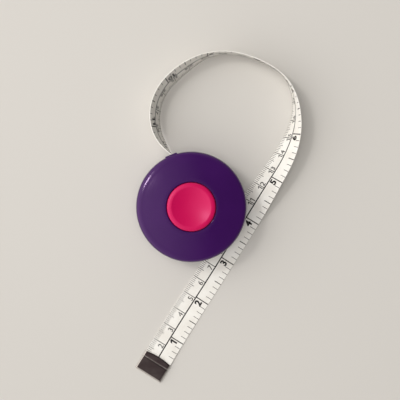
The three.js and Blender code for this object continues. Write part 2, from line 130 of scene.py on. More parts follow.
# Radii from the button's stem out to the drum
BUTTON_LIP_R = BUTTON_R + BUTTON_LIP
STEM_SHOULDER_R = STEM_R + STEM_SHOULDER
STEM_BORE_R = STEM_R + RUN_GAP
SPRING_R = STEM_BORE_R + SPRING_WIRE_R
POCKET_R = SPRING_R + SPRING_WIRE_R + RUN_GAP
ARBOR_R = POCKET_R + ARBOR_WALL
REEL_BORE_R = ARBOR_R + RUN_GAP
SPIGOT_INNER_R = BUTTON_LIP_R + SPIGOT_CLEARANCE
SPIGOT_OUTER_R = SPIGOT_INNER_R + SPIGOT_WALL
DRUM_TOP_BORE_R = SPIGOT_OUTER_R + SEAT_GAP
DRUM_MID_BORE_R = DRUM_TOP_BORE_R - DRUM_LEDGE
DRUM_LOW_BORE_R = DRUM_MID_BORE_R - DRUM_LEDGE
DRUM_R = DRUM_TOP_BORE_R + DRUM_WALL
DISC_R = DRUM_MID_BORE_R - DISC_MARGIN
LINING_INNER_R = DISC_R - LINING_WIDTH
TRACK_INNER_R = LINING_INNER_R - RUN_GAP

# Route of the tape from the coil to the clip: x, y, height of the lower edge, lean from upright
ROUTE = [
    (-3.0, 24.6, 4.3, 0), (-6.3, 24.95, 4.3, 0), (-9.0, 25.65, 4.3, 0), (-10.7, 27.2, 4.3, 0),
    (-12.3, 29.1, 3.8, -4), (-14.1, 31.6, 3.0, -9), (-16.0, 34.6, 2.0, -13), (-17.8, 38.1, 1.1, -14.5),
    (-19.0, 42.0, 0.6, -16), (-19.5, 47.0, 0.35, -17), (-19.1, 52.5, 0.25, -17), (-17.5, 57.8, 0.2, -16),
    (-15.2, 62.2, 0.2, -15), (-11.6, 66.7, 0.2, -14.5), (-5.9, 71.8, 0.2, -13), (0.7, 76.4, 0.2, -8),
    (8.1, 80.1, 0.2, 1), (15.2, 81.5, 0.2, 5), (23.1, 81.2, 0.2, 6.5), (30.4, 79.5, 0.2, 8),
    (37.5, 76.9, 0.2, 9.5), (44.0, 73.4, 0.2, 10.5), (48.6, 69.6, 0.2, 9.5), (52.0, 64.7, 0.2, 5.5),
    (54.3, 58.5, 0.2, 0), (55.3, 52.3, 0.2, -6.5), (55.1, 45.5, 0.2, -15), (53.7, 38.3, 0.2, -26.5),
    (50.8, 30.4, 0.2, -38), (47.0, 22.8, 0.2, -46.5), (42.8, 16.1, 0.2, -53), (38.3, 8.9, 0.22, -64),
    (33.6, 1.2, 0.25, -75), (28.9, -6.5, 0.25, -83), (24.1, -14.4, 0.25, -88),
    (10.85, -35.55, 0.25, -90), (-2.65, -56.65, 0.25, -90), (-13.25, -73.55, 0.5, -90),
    (-18.45, -82.15, 0.85, -90), (-23.5, -90.25, 0.85, -90),
]
ROUTE_STEP = 0.5
ROUTE_EASE = 5
ROUTE_SAMPLES = 6000


def smooth_line(points, at, power):
    """A smooth line through the points, at places counted in points; power 0 spaces its knots evenly."""
    points = np.asarray(points, float)
    ends = np.vstack([2 * points[0] - points[1], points, 2 * points[-1] - points[-2]])
    leg = np.clip(np.floor(at).astype(int), 0, len(points) - 2)
    t = (at - leg)[:, None]
    p0, p1, p2, p3 = (ends[leg + k] for k in range(4))
    d0, d1, d2 = (
        np.linalg.norm(b - a, axis=1, keepdims=True) ** power for a, b in ((p0, p1), (p1, p2), (p2, p3))
    )
    start = d1 * ((p1 - p0) / d0 - (p2 - p0) / (d0 + d1) + (p2 - p1) / d1)
    end = d1 * ((p2 - p1) / d1 - (p3 - p1) / (d1 + d2) + (p3 - p2) / d2)
    bend = 3 * (p2 - p1) - 2 * start - end
    return p1 + t * (start + t * (bend + t * (2 * (p1 - p2) + start + end)))


def eased(values, width):
    """The values along a line, smoothed over a few neighbours with the ends kept."""
    reach = 3 * width
    weights = np.exp(-0.5 * (np.arange(-reach, reach + 1) / width) ** 2)
    front = 2 * values[0] - values[reach:0:-1]
    back = 2 * values[-1] - values[-2:-reach - 2:-1]
    return np.convolve(np.concatenate([front, values, back]), weights / weights.sum(), "valid")


def tape_route():
    """Stations of the free tape: middles, ways across it, out of its face and ahead, and its length."""
    route = np.array(ROUTE, float)
    at = np.linspace(0, len(route) - 1, ROUTE_SAMPLES)
    plan = smooth_line(route[:, :2], at, 0.5)
    stand = smooth_line(route[:, 2:], at, 0)
    run = np.concatenate([[0], np.cumsum(np.linalg.norm(np.diff(plan, axis=0), axis=1))])
    along = np.linspace(0, run[-1], round(run[-1] / ROUTE_STEP) + 1)
    x, y, lower, lean = (
        eased(np.interp(along, run, line), ROUTE_EASE) for line in (*plan.T, *stand.T)
    )
    lean = np.radians(lean)
    way = np.gradient(np.stack([x, y], 1), axis=0)
    way /= np.linalg.norm(way, axis=1, keepdims=True)
    sideways = np.sin(lean)
    width = np.stack([way[:, 1] * sideways, -way[:, 0] * sideways, np.cos(lean)], 1)
    ahead = np.column_stack([way, np.zeros(len(way))])
    middle = np.stack([x, y, lower + TAPE_WIDTH / 2 * np.cos(lean)], 1)
    return middle, width, np.cross(ahead, width), ahead, run[-1]


ROUTE_MIDDLE, ROUTE_WIDTH, ROUTE_FACE, ROUTE_AHEAD, ROUTE_LENGTH = tape_route()

# Radii of the wound tape, the reel and the case
COIL_INNER_R = DRUM_R + RUN_GAP
COIL_START_R = COIL_INNER_R + TAPE_THICK / 2
COIL_TURNS = (
    math.sqrt(COIL_START_R ** 2 + COIL_PITCH * (TAPE_LENGTH - ROUTE_LENGTH) / math.pi) - COIL_START_R
) / COIL_PITCH
COIL_OUTER_R = COIL_INNER_R + TAPE_THICK + COIL_PITCH * COIL_TURNS
COIL_END_ANGLE = math.atan2(ROUTE[0][1], ROUTE[0][0]) - SEAT_GAP / COIL_OUTER_R
COIL_START_ANGLE = COIL_END_ANGLE - 2 * math.pi * COIL_TURNS
FLANGE_R = COIL_OUTER_R + FLANGE_MARGIN
CASE_INNER_R = FLANGE_R + LEAD_ROOM
CASE_R = CASE_INNER_R + CASE_WALL
LAP_OUTER_R = CASE_INNER_R + LAP_WALL
LAP_SKIRT_R = LAP_OUTER_R + SEAT_GAP


def dome_height(r):
    """Height of the case's domed face over its flat land."""
    return max(0.0, (r ** 2 - BASE_LAND_R ** 2) / (2 * DOME_RADIUS))


# Heights, from the base up
REEL_BOTTOM_Z = dome_height(FLANGE_R) + CASE_WALL + RUN_GAP
WEB_TOP_Z = REEL_BOTTOM_Z + FLANGE_THICK
TAPE_BOTTOM_Z = WEB_TOP_Z + TAPE_SIDE_GAP
TAPE_TOP_Z = TAPE_BOTTOM_Z + TAPE_WIDTH
TAPE_MIDDLE_Z = (TAPE_BOTTOM_Z + TAPE_TOP_Z) / 2
UPPER_FLANGE_Z = TAPE_TOP_Z + TAPE_SIDE_GAP
UPPER_FLANGE_TOP_Z = UPPER_FLANGE_Z + FLANGE_THICK
CASE_TOP_Z = UPPER_FLANGE_TOP_Z + RUN_GAP + CASE_WALL + dome_height(FLANGE_R)
SPLIT_Z = CASE_TOP_Z / 2
DRUM_TOP_Z = UPPER_FLANGE_Z - SEAT_GAP
SPIGOT_BOTTOM_Z = UPPER_FLANGE_Z - SPIGOT_DEPTH
TRACK_TOP_Z = SPIGOT_BOTTOM_Z - SEAT_GAP
TRACK_BOTTOM_Z = TRACK_TOP_Z - TRACK_THICK
TRACK_LEDGE_Z = TRACK_BOTTOM_Z - SEAT_GAP
LINING_TOP_Z = TRACK_BOTTOM_Z - BRAKE_GAP
LINING_BOTTOM_Z = LINING_TOP_Z - LINING_THICK
DISC_TOP_Z = LINING_BOTTOM_Z - SEAT_GAP
DISC_BOTTOM_Z = DISC_TOP_Z - DISC_THICK
ARBOR_TOP_Z = DISC_BOTTOM_Z - BUTTON_TRAVEL - 2 * RUN_GAP
SPRING_COVER_Z = ARBOR_TOP_Z - SPRING_COVER_THICK
SPRING_LEDGE_Z = SPRING_COVER_Z - SEAT_GAP
MAINSPRING_Z = WEB_TOP_Z + RUN_GAP
MAINSPRING_TOP_Z = SPRING_LEDGE_Z - RUN_GAP
POCKET_FLOOR_Z = ARBOR_TOP_Z - SPRING_POCKET
STEM_BOTTOM_Z = POCKET_FLOOR_Z - STEM_ENGAGE
GUIDE_FLOOR_Z = STEM_BOTTOM_Z - BUTTON_TRAVEL - RUN_GAP
BUTTON_TOP_Z = CASE_TOP_Z + BUTTON_PROUD
DISH_FLOOR_Z = BUTTON_TOP_Z - BUTTON_DISH
CROWN_UNDER_Z = DISH_FLOOR_Z - BUTTON_CROWN
LIP_TOP_Z = CASE_TOP_Z - CASE_WALL - RUN_GAP
LIP_BOTTOM_Z = LIP_TOP_Z - BUTTON_LIP_THICK
EDGE_TOP_Z = dome_height(FLANGE_R) + EDGE_RISE
SPRING_LOW_Z = POCKET_FLOOR_Z + SEAT_GAP + SPRING_WIRE_R
SPRING_HIGH_Z = DISC_BOTTOM_Z - SEAT_GAP - SPRING_WIRE_R

# Nodes

FLOAT, VECTOR, WHOLE = "NodeSocketFloat", "NodeSocketVector", "NodeSocketInt"
GEOMETRY, THING, FINISH = "NodeSocketGeometry", "NodeSocketObject", "NodeSocketMaterial"


def plug(tree, node, inputs):
    """Gives each named input of a node a value, or a socket to follow."""
    for name, value in inputs.items():
        if isinstance(value, bpy.types.NodeSocket):
            tree.links.new(value, node.inputs[name])
        else:
            node.inputs[name].default_value = value


def add(tree, kind, inputs=None, **settings):
    """A new node with its settings and its inputs."""
    made = tree.nodes.new(kind)
    for name, value in settings.items():
        setattr(made, name, value)
    plug(tree, made, inputs or {})
    return made


def math_node(tree, operation, *values):
    return add(tree, "ShaderNodeMath", dict(enumerate(values)), operation=operation).outputs[0]


def ranged(tree, value, low, high, start=0.0, end=1.0):
    """The value taken from one range to another, and held at its ends."""
    inputs = {"Value": value, "From Min": start, "From Max": end, "To Min": low, "To Max": high}
    return add(tree, "ShaderNodeMapRange", inputs).outputs["Result"]


def tinted(tree, factor, first, second):
    """A colour between two, by a factor."""
    return add(tree, "ShaderNodeMix", {0: factor, 6: first, 7: second}, data_type="RGBA").outputs[2]


def node_group(name, kind, inputs, outputs):
    """An empty node group with named sockets, and its two end nodes."""
    tree = bpy.data.node_groups.new(name, kind)
    for socket, socket_type in inputs:
        tree.interface.new_socket(socket, in_out="INPUT", socket_type=socket_type)
    for socket, socket_type in outputs:
        tree.interface.new_socket(socket, in_out="OUTPUT", socket_type=socket_type)
    return tree, add(tree, "NodeGroupInput").outputs, add(tree, "NodeGroupOutput").inputs


def moulded_skin_group():
    """Slow drift of tone and fine grain of a moulded surface."""
    tree, given, put = node_group(
        "moulded skin", "ShaderNodeTree",
        [("Place", VECTOR), ("Drift Scale", FLOAT), ("Grain Scale", FLOAT)],
        [("Tone", FLOAT), ("Grain", FLOAT)],
    )
    drift = add(tree, "ShaderNodeTexNoise", {
        "Vector": given["Place"], "Scale": given["Drift Scale"], "Detail": 3.0, "Roughness": 0.5})
    grain = add(tree, "ShaderNodeTexNoise", {
        "Vector": given["Place"], "Scale": given["Grain Scale"], "Detail": 2.0, "Roughness": 0.6})
    tree.links.new(ranged(tree, drift.outputs["Fac"], 0.0, 1.0, 0.32, 0.68), put["Tone"])
    tree.links.new(grain.outputs["Fac"], put["Grain"])
    return tree


def hairlines_group():
    """Fine scratches from handling, in two directions, broken up by a patchy mask."""
    tree, given, put = node_group(
        "hairlines", "ShaderNodeTree",
        [("Place", VECTOR), ("Scale", FLOAT), ("Share", FLOAT)], [("Scratch", FLOAT)],
    )
    lines = []
    for turn, stretch in ((0.5, 0.05), (2.2, 0.08)):
        turned_place = add(tree, "ShaderNodeMapping", {
            "Vector": given["Place"], "Rotation": (0.2, 0.1, turn), "Scale": (1.0, stretch, stretch)})
        cells = add(tree, "ShaderNodeTexVoronoi", {
            "Vector": turned_place.outputs["Vector"], "Scale": given["Scale"]}, feature="DISTANCE_TO_EDGE")
        lines.append(ranged(tree, cells.outputs["Distance"], 1.0, 0.0, 0.0, 0.012))
    patches = add(tree, "ShaderNodeTexNoise", {
        "Vector": given["Place"], "Scale": math_node(tree, "MULTIPLY", given["Scale"], 0.4), "Detail": 2.0})
    patch = ranged(tree, patches.outputs["Fac"], 0.0, 1.0, 0.48, 0.7)
    both = math_node(tree, "MAXIMUM", *lines)
    shown = math_node(tree, "MULTIPLY", math_node(tree, "MULTIPLY", both, patch), given["Share"])
    tree.links.new(shown, put["Scratch"])
    return tree


def weave_group():
    """Plain weave along and across a strip: height of the threads and the dips between them."""
    tree, given, put = node_group(
        "weave", "ShaderNodeTree",
        [("Along", FLOAT), ("Across", FLOAT), ("Thread", FLOAT)], [("Height", FLOAT)],
    )
    waves = []
    for way in ("Along", "Across"):
        turn = math_node(tree, "DIVIDE", given[way], given["Thread"])
        waves.append(math_node(tree, "SINE", math_node(tree, "MULTIPLY", turn, 2 * math.pi)))
    over = math_node(tree, "MULTIPLY", *waves)
    tree.links.new(ranged(tree, over, 0.0, 1.0, -1.0, 1.0), put["Height"])
    return tree


MOULDED_SKIN = moulded_skin_group()
HAIRLINES = hairlines_group()
WEAVE = weave_group()


def blank_material(name):
    material = bpy.data.materials.new(name)
    material.use_nodes = True
    tree = material.node_tree
    return material, tree, tree.nodes["Principled BSDF"]


def bump(tree, height, strength, distance):
    inputs = {"Height": height, "Strength": strength, "Distance": distance}
    return add(tree, "ShaderNodeBump", inputs).outputs["Normal"]


GRAIN_DEPTH = 0.4


def moulded_plastic(
        name, colour, deep, roughness, scratches, tint=(1, 1, 1), grain_scale=900.0, grain=0.04):
    """Moulded plastic whose tone drifts a little, with grain and hairlines in its gloss."""
    material, tree, shader = blank_material(name)
    place = add(tree, "ShaderNodeTexCoord").outputs["Object"]
    skin = add(tree, "ShaderNodeGroup", node_tree=MOULDED_SKIN, inputs={
        "Place": place, "Drift Scale": 60.0, "Grain Scale": grain_scale})
    lines = add(tree, "ShaderNodeGroup", node_tree=HAIRLINES, inputs={
        "Place": place, "Scale": 260.0, "Share": scratches})
    tone, scratch = skin.outputs["Tone"], lines.outputs["Scratch"]
    gloss = ranged(tree, tone, roughness, roughness + 0.05)
    height = math_node(tree, "MULTIPLY_ADD", scratch, -0.6, skin.outputs["Grain"])
    plug(tree, shader, {
        "Base Color": tinted(tree, tone, (*deep, 1), (*colour, 1)),
        "Roughness": math_node(tree, "MULTIPLY_ADD", scratch, 0.25, gloss),
        "Normal": bump(tree, height, grain, GRAIN_DEPTH * MM),
        "Specular Tint": (*tint, 1)})
    return material


PRINT_UV = "tape_print"
THREAD = 0.42
THREAD_LIFT = 0.03
CLOTH_LOW = (0.80, 0.77, 0.715, 1)
CLOTH_HIGH = (0.87, 0.85, 0.805, 1)
# Painted shade colour for the dips of the weave.
CLOTH_DIP_SHADE = (0.62, 0.58, 0.52, 1)


def coated_cloth(name):
    """White coated cloth: a fine weave under the coating, with painted shade in its dips, and a slow drift
    of tone.
    """
    material, tree, shader = blank_material(name)
    flat = add(tree, "ShaderNodeUVMap", uv_map=PRINT_UV).outputs["UV"]
    parts = add(tree, "ShaderNodeSeparateXYZ", {0: flat}).outputs
    weave = add(tree, "ShaderNodeGroup", node_tree=WEAVE, inputs={
        "Along": parts["X"], "Across": parts["Y"], "Thread": THREAD * MM})
    drift = add(tree, "ShaderNodeTexNoise", {"Vector": flat, "Scale": 140.0, "Detail": 4.0})
    tone = ranged(tree, drift.outputs["Fac"], 0.0, 1.0, 0.35, 0.65)
    cloth = tinted(tree, tone, CLOTH_LOW, CLOTH_HIGH)
    # Painted shade: the colour is darkened in the low places of the weave.
    dips = ranged(tree, weave.outputs["Height"], 0.16, 0.0, 0.0, 0.5)
    plug(tree, shader, {
        "Base Color": tinted(tree, dips, cloth, CLOTH_DIP_SHADE),
        "Roughness": ranged(tree, tone, 0.42, 0.52),
        "Normal": bump(tree, weave.outputs["Height"], 0.35, THREAD_LIFT * MM),
        "Specular IOR Level": 0.4})
    return material


INK_BLACK = (0.012, 0.011, 0.012, 1)
INK_RUBBED = (0.075, 0.068, 0.066, 1)


def print_ink(name):
    """Black print, a little greyer where it has rubbed."""
    material, tree, shader = blank_material(name)
    place = add(tree, "ShaderNodeTexCoord").outputs["Object"]
    rub = add(tree, "ShaderNodeTexNoise", {"Vector": place, "Scale": 700.0, "Detail": 3.0})
    lightened = ranged(tree, rub.outputs["Fac"], 0.0, 1.0, 0.5, 0.8)
    plug(tree, shader, {
        "Base Color": tinted(tree, lightened, INK_BLACK, INK_RUBBED),
        "Roughness": ranged(tree, lightened, 0.45, 0.65),
        "Specular IOR Level": 0.1})
    return material


# Point attribute of painted highlight and rubbing, which lightens the clip's metal.
HIGHLIGHT_AND_WEAR = "highlight_and_wear"
DRAWN_TURN = math.radians(32)
DRAWN_DEPTH = 0.02
LINE_WEAR = 0.15


def brushed_metal(name, colour, highlight_and_wear_colour, roughness, stretch):
    """Metal with fine lines along one way, brighter where it has rubbed, and lighter where a piece's point
    attribute is set: on the clip a painted highlight, with some rubbing.
    """
    material, tree, shader = blank_material(name)
    place = add(tree, "ShaderNodeTexCoord").outputs["Object"]
    drawn = add(tree, "ShaderNodeMapping", {
        "Vector": place, "Rotation": (0.0, 0.0, DRAWN_TURN), "Scale": stretch})
    noise = add(tree, "ShaderNodeTexNoise", {
        "Vector": drawn.outputs["Vector"], "Scale": 900.0, "Detail": 3.0, "Roughness": 0.6})
    lines = noise.outputs["Fac"]
    skin = add(tree, "ShaderNodeGroup", node_tree=MOULDED_SKIN, inputs={
        "Place": place, "Drift Scale": 180.0, "Grain Scale": 1500.0})
    marks = add(tree, "ShaderNodeGroup", node_tree=HAIRLINES, inputs={
        "Place": place, "Scale": 500.0, "Share": 0.7})
    rubbed = math_node(tree, "MULTIPLY", lines, skin.outputs["Tone"])
    rubbed = math_node(tree, "MAXIMUM", rubbed, marks.outputs["Scratch"])
    rubbed = math_node(tree, "MULTIPLY", rubbed, LINE_WEAR)
    # Painted highlight: the piece's point attribute lightens the metal along the clip's crease, fold and
    # rolled sides, where light catches them; it stands for rubbing there too.
    edges = add(tree, "ShaderNodeAttribute", attribute_name=HIGHLIGHT_AND_WEAR).outputs["Fac"]
    rubbed = math_node(tree, "MAXIMUM", rubbed, edges)
    plug(tree, shader, {
        "Base Color": tinted(tree, rubbed, (*colour, 1), (*highlight_and_wear_colour, 1)),
        "Roughness": ranged(tree, lines, roughness - 0.06, roughness + 0.08, 0.3, 0.7),
        "Normal": bump(tree, lines, 0.12, DRAWN_DEPTH * MM),
        "Metallic": 1.0})
    return material


CASE_PLASTIC = moulded_plastic(
    "case_plastic", (0.036, 0.0040, 0.078), (0.032, 0.0034, 0.071), 0.11, 0.06, (0.9, 0.65, 1.0))
BUTTON_PLASTIC = moulded_plastic(
    "button_plastic", (0.560, 0.0020, 0.082), (0.530, 0.0016, 0.075), 0.33, 0.06, (1.0, 0.6, 0.9))
REEL_PLASTIC = moulded_plastic(
    "reel_plastic", (0.69, 0.66, 0.57), (0.62, 0.59, 0.50), 0.45, 0.2, grain_scale=700.0, grain=0.1)
INNER_PLASTIC = moulded_plastic(
    "inner_plastic", (0.27, 0.28, 0.30), (0.23, 0.24, 0.26), 0.5, 0.2, grain_scale=700.0, grain=0.1)
LINING_RUBBER = moulded_plastic(
    "lining_rubber", (0.022, 0.022, 0.023), (0.016, 0.016, 0.017), 0.8, 0.0, grain_scale=2500.0, grain=0.4)
TAPE_CLOTH = coated_cloth("tape_cloth")
PRINT_INK = print_ink("print_ink")
CLIP_METAL = brushed_metal(
    "clip_metal", (0.082, 0.059, 0.060), (0.48, 0.44, 0.405), 0.36, (0.06, 1.0, 1.0))
SPRING_STEEL = brushed_metal(
    "spring_steel", (0.45, 0.455, 0.465), (0.62, 0.625, 0.64), 0.28, (1.0, 1.0, 0.08))

# Meshes

SMOOTH_ANGLE = math.radians(32)
MERGE_DISTANCE = 1e-7
ON_AXIS = 1e-6
NEARLY_STRAIGHT = -0.92
CORNER_SHARE = 0.45


def placed(name, data):
    """A new object with the data, in the scene."""
    made = bpy.data.objects.new(name, data)
    bpy.context.scene.collection.objects.link(made)
    return made


def piece_of(mesh, name, material, body, slot, *nodes, sharp=SMOOTH_ANGLE):
    """A finished piece that rides on a body and stands for its nodes."""
    mesh.name = name
    if material is not None:
        mesh.materials.clear()
        mesh.materials.append(material)
    mesh.shade_smooth()
    mesh.set_sharp_from_angle(angle=sharp)
    made = placed(name, mesh)
    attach(made, body)
    if nodes:
        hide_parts(*nodes)
    return made


def facing_out(mesh, merge=True):
    """The mesh with its faces turned outwards, and before that its doubles merged."""
    work = bmesh.new()
    work.from_mesh(mesh)
    if merge:
        bmesh.ops.remove_doubles(work, verts=work.verts, dist=MERGE_DISTANCE)
        bmesh.ops.recalc_face_normals(work, faces=work.faces)
    if work.calc_volume(signed=True) < 0:
        bmesh.ops.reverse_faces(work, faces=work.faces)
    work.to_mesh(mesh)
    work.free()
    return mesh


def raw_mesh(points, faces):
    """A mesh from points in millimetres."""
    mesh = bpy.data.meshes.new("piece")
    mesh.from_pydata((np.asarray(points, float) * MM).tolist(), [], faces)
    return mesh


def mesh_of(points, faces):
    """A closed mesh from points in millimetres, with its doubles merged and its faces outwards."""
    return facing_out(raw_mesh(points, faces))


def ring_faces(rings, count):
    """Faces between neighbouring rings of points, each ring closed on itself."""
    faces = []
    for i in range(rings - 1):
        for k in range(count):
            n = (k + 1) % count
            faces.append((i * count + k, i * count + n, (i + 1) * count + n, (i + 1) * count + k))
    return faces


def even_angles(count):
    return np.arange(count) * 2 * math.pi / count


def rounded(corners, radius, steps=3):
    """The same closed profile with its sharp corners rounded; points on the axis stay."""
    done = []
    count = len(corners)
    for i, corner in enumerate(corners):
        here = np.array(corner, float)
        before = np.array(corners[i - 1], float) - here
        after = np.array(corners[(i + 1) % count], float) - here
        reach_b, reach_a = np.linalg.norm(before), np.linalg.norm(after)
        if here[0] < ON_AXIS or before @ after < NEARLY_STRAIGHT * reach_b * reach_a:
            done.append(tuple(here))
            continue
        cut = min(radius, CORNER_SHARE * reach_b, CORNER_SHARE * reach_a)
        first, last = here + before / reach_b * cut, here + after / reach_a * cut
        for t in np.linspace(0, 1, steps + 1):
            done.append(tuple((1 - t) ** 2 * first + 2 * t * (1 - t) * here + t ** 2 * last))
    return done


def turned(profile, angles):
    """Points and faces of a solid turned about the axis, from a closed line of radius and height."""
    points, rings = [], []
    count = len(angles)
    for r, z in profile:
        if r < ON_AXIS:
            rings.append([len(points)] * count)
            points.append((0.0, 0.0, z))
        else:
            rings.append(list(range(len(points), len(points) + count)))
            points += [(r * math.cos(a), r * math.sin(a), z) for a in angles]
    pairs = list(zip(rings, rings[1:]))
    if profile[0][0] > ON_AXIS:
        pairs.append((rings[-1], rings[0]))
    faces = []
    for a, b in pairs:
        for j in range(count):
            k = (j + 1) % count
            face = list(dict.fromkeys((a[j], a[k], b[k], b[j])))
            if len(face) > 2:
                faces.append(face)
    return points, faces


def box_mesh(size, turn, place):
    """A block turned about the axis, used as a cutter or as a small strip."""
    x, y, z = (s / 2 for s in size)
    c, s = math.cos(turn), math.sin(turn)
    points = [
        (place[0] + c * i * x - s * j * y, place[1] + s * i * x + c * j * y, place[2] + k * z)
        for k in (-1, 1) for j in (-1, 1) for i in (-1, 1)
    ]
    faces = [(0, 2, 3, 1), (4, 5, 7, 6), (0, 1, 5, 4), (2, 6, 7, 3), (0, 4, 6, 2), (1, 3, 7, 5)]
    return mesh_of(points, faces)


def evaluated(holder):
    """The object's mesh with its modifiers in it; the object itself is removed."""
    made = bpy.data.meshes.new_from_object(
        holder.evaluated_get(bpy.context.evaluated_depsgraph_get()))
    bpy.data.objects.remove(holder)
    return made


def cut_out(mesh, cutter):
    """The mesh with the cutter's shape taken out of it."""
    holder, tool = placed("holder", mesh), placed("holder", cutter)
    cut = holder.modifiers.new("cut", "BOOLEAN")
    cut.operation, cut.solver, cut.object = "DIFFERENCE", "EXACT", tool
    bpy.context.view_layer.update()
    made = evaluated(holder)
    bpy.data.objects.remove(tool)
    return made


# Case

CASE_SIDES = 192
PAD_SIDES = 80
PAD_SPREAD = 0.17
PAD_SEAM = 0.005
PAD_REACH = 0.4
PAD_BLEND = 0.1
OUTSIDE_STEPS = 14
INSIDE_STEPS = 6
UPRIGHT_STEPS = 12
UPRIGHT_START_Z = EDGE_TOP_Z + 0.1
PART_ROUND = 0.18
PART_CUT = 0.05
LAP_ROUND = 0.12
RING_ROUND = 0.15
HOLE_ROUND = 0.45
HOLE_LAND = 0.08


def bezier(points, steps):
    t = np.linspace(0, 1, steps + 1)[:, None]
    a, b, c, d = (np.array(p, float) for p in points)
    return (1 - t) ** 3 * a + 3 * t * (1 - t) ** 2 * b + 3 * t ** 2 * (1 - t) * c + t ** 3 * d


def shell_side(radius, lift, steps):
    """From the flat land over the dome and the round edge to the upright side."""
    dome = [(r, dome_height(r) + lift) for r in np.linspace(BASE_LAND_R, FLANGE_R, steps)]
    r0, z0 = dome[-1]
    rise = EDGE_TOP_Z - z0
    edge = bezier([
        (r0, z0),
        (r0 + EDGE_PULL_OUT * (radius - r0), z0 + EDGE_LIFT * rise),
        (radius, z0 + EDGE_PULL_UP * rise),
        (radius, EDGE_TOP_Z),
    ], 3 * steps)
    return dome + [tuple(p) for p in edge[1:]]


def over(profile):
    """The profile turned upside down, for the front cover."""
    return [(r, CASE_TOP_Z - z) for r, z in profile]


def smooth_step(value, start, end):
    t = np.clip((value - start) / (end - start), 0, 1)
    return t * t * (3 - 2 * t)


def mouth_pad(points, outer, count):
    """Pushes the outside of the wall out into the flat pad round the mouth."""
    points = np.array(points, float)
    wall = points[:outer * count]
    turn = np.arctan2(wall[:, 1], wall[:, 0]) - PAD_ANGLE
    turn = (turn + math.pi) % (2 * math.pi) - math.pi
    near = np.abs(turn) < PAD_REACH
    face = CASE_R + PAD_PROUD
    aside = np.where(near, np.abs(np.tan(turn)) * face, CASE_R)
    low, high = TAPE_BOTTOM_Z - PAD_MARGIN, TAPE_TOP_Z + PAD_MARGIN
    half = PAD_WIDTH / 2
    share = smooth_step(aside, half + PAD_BLEND, half - PAD_ROUND)
    share *= smooth_step(wall[:, 2], low - PAD_BLEND, low + PAD_ROUND)
    share *= smooth_step(wall[:, 2], high + PAD_BLEND, high - PAD_ROUND)
    radius = np.hypot(wall[:, 0], wall[:, 1])
    wanted = np.where(near, face / np.cos(np.where(near, turn, 0)), radius)
    push = share * np.maximum(wanted - radius, 0)
    wall[:, :2] *= (1 + push / np.maximum(radius, 1))[:, None]
    return points


def case_shell(profile, outer):
    """One cover: the turned shell with its half of the mouth pad and of the slot."""
    near = np.linspace(PAD_ANGLE - PAD_SPREAD, PAD_ANGLE + PAD_SPREAD, PAD_SIDES)
    far = [a for a in even_angles(CASE_SIDES) if abs(a - PAD_ANGLE) > PAD_SPREAD + PAD_SEAM]
    angles = np.sort(np.concatenate([near, far]))
    points, faces = turned(profile, angles)
    mesh = mesh_of(mouth_pad(points, outer, len(angles)), faces)
    middle = (CASE_INNER_R + CASE_R) / 2
    size = (MOUTH_CUT_LENGTH, TAPE_THICK + 2 * MOUTH_GAP, TAPE_WIDTH + 2 * TAPE_SIDE_GAP)
    place = (middle * math.cos(MOUTH_ANGLE), middle * math.sin(MOUTH_ANGLE), TAPE_MIDDLE_Z)
    return cut_out(mesh, box_mesh(size, MOUTH_HEADING, place))


def upright(top):
    """The straight side, from the round edge up to a height."""
    return [(CASE_R, z) for z in np.linspace(UPRIGHT_START_Z, top, UPRIGHT_STEPS)]


def rear_cover():
    edge = SPLIT_Z - PARTING_GAP / 2
    outside = shell_side(CASE_R, 0, OUTSIDE_STEPS) + upright(edge - PART_ROUND)
    outside += [(CASE_R - PART_CUT, edge - PART_CUT), (CASE_R - PART_ROUND, edge)]
    ring_in = ARBOR_R + SEAT_GAP
    ring_out = ring_in + FOOT_RING_WALL
    ring_top = REEL_BOTTOM_Z - RUN_GAP
    inside = rounded([
        (LAP_OUTER_R, edge), (LAP_OUTER_R, SPLIT_Z + LAP_HEIGHT), (CASE_INNER_R, SPLIT_Z + LAP_HEIGHT),
        (CASE_INNER_R, EDGE_TOP_Z + 1)], LAP_ROUND)[1:-1]
    inside += shell_side(CASE_INNER_R, CASE_WALL, INSIDE_STEPS)[::-1]
    inside += rounded([
        (BASE_LAND_R - 1, CASE_WALL), (ring_out, CASE_WALL), (ring_out, ring_top), (ring_in, ring_top),
        (ring_in, CASE_WALL)], RING_ROUND)[1:]
    profile = [(0, 0)] + outside + inside + [(0, CASE_WALL)]
    return case_shell(profile, 1 + len(outside))


def front_cover():
    edge = SPLIT_Z + PARTING_GAP / 2
    hole = BUTTON_R + RUN_GAP
    lip = [(hole + HOLE_ROUND * (1 - math.cos(a)), CASE_TOP_Z - HOLE_ROUND * (1 - math.sin(a)))
           for a in np.linspace(0, math.pi / 2, 9)]
    lip.append((hole + HOLE_ROUND + HOLE_LAND, CASE_TOP_Z))
    outside = lip + over(shell_side(CASE_R, 0, OUTSIDE_STEPS) + upright(CASE_TOP_Z - edge - PART_ROUND))
    outside += [(CASE_R - PART_CUT, edge + PART_CUT), (CASE_R - PART_ROUND, edge)]
    inside = [
        (LAP_SKIRT_R, edge), (LAP_SKIRT_R, SPLIT_Z + LAP_HEIGHT + SEAT_GAP),
        (CASE_INNER_R, SPLIT_Z + LAP_HEIGHT + SEAT_GAP)]
    inside += over(shell_side(CASE_INNER_R, CASE_WALL, INSIDE_STEPS)[::-1])
    inside.append((hole, CASE_TOP_Z - CASE_WALL))
    return case_shell(outside + inside, len(outside))


# Button

BUTTON_SIDES = 144
RIM_STEPS = 16
DISH_STEPS = 28
BUTTON_SHARP = math.radians(14)


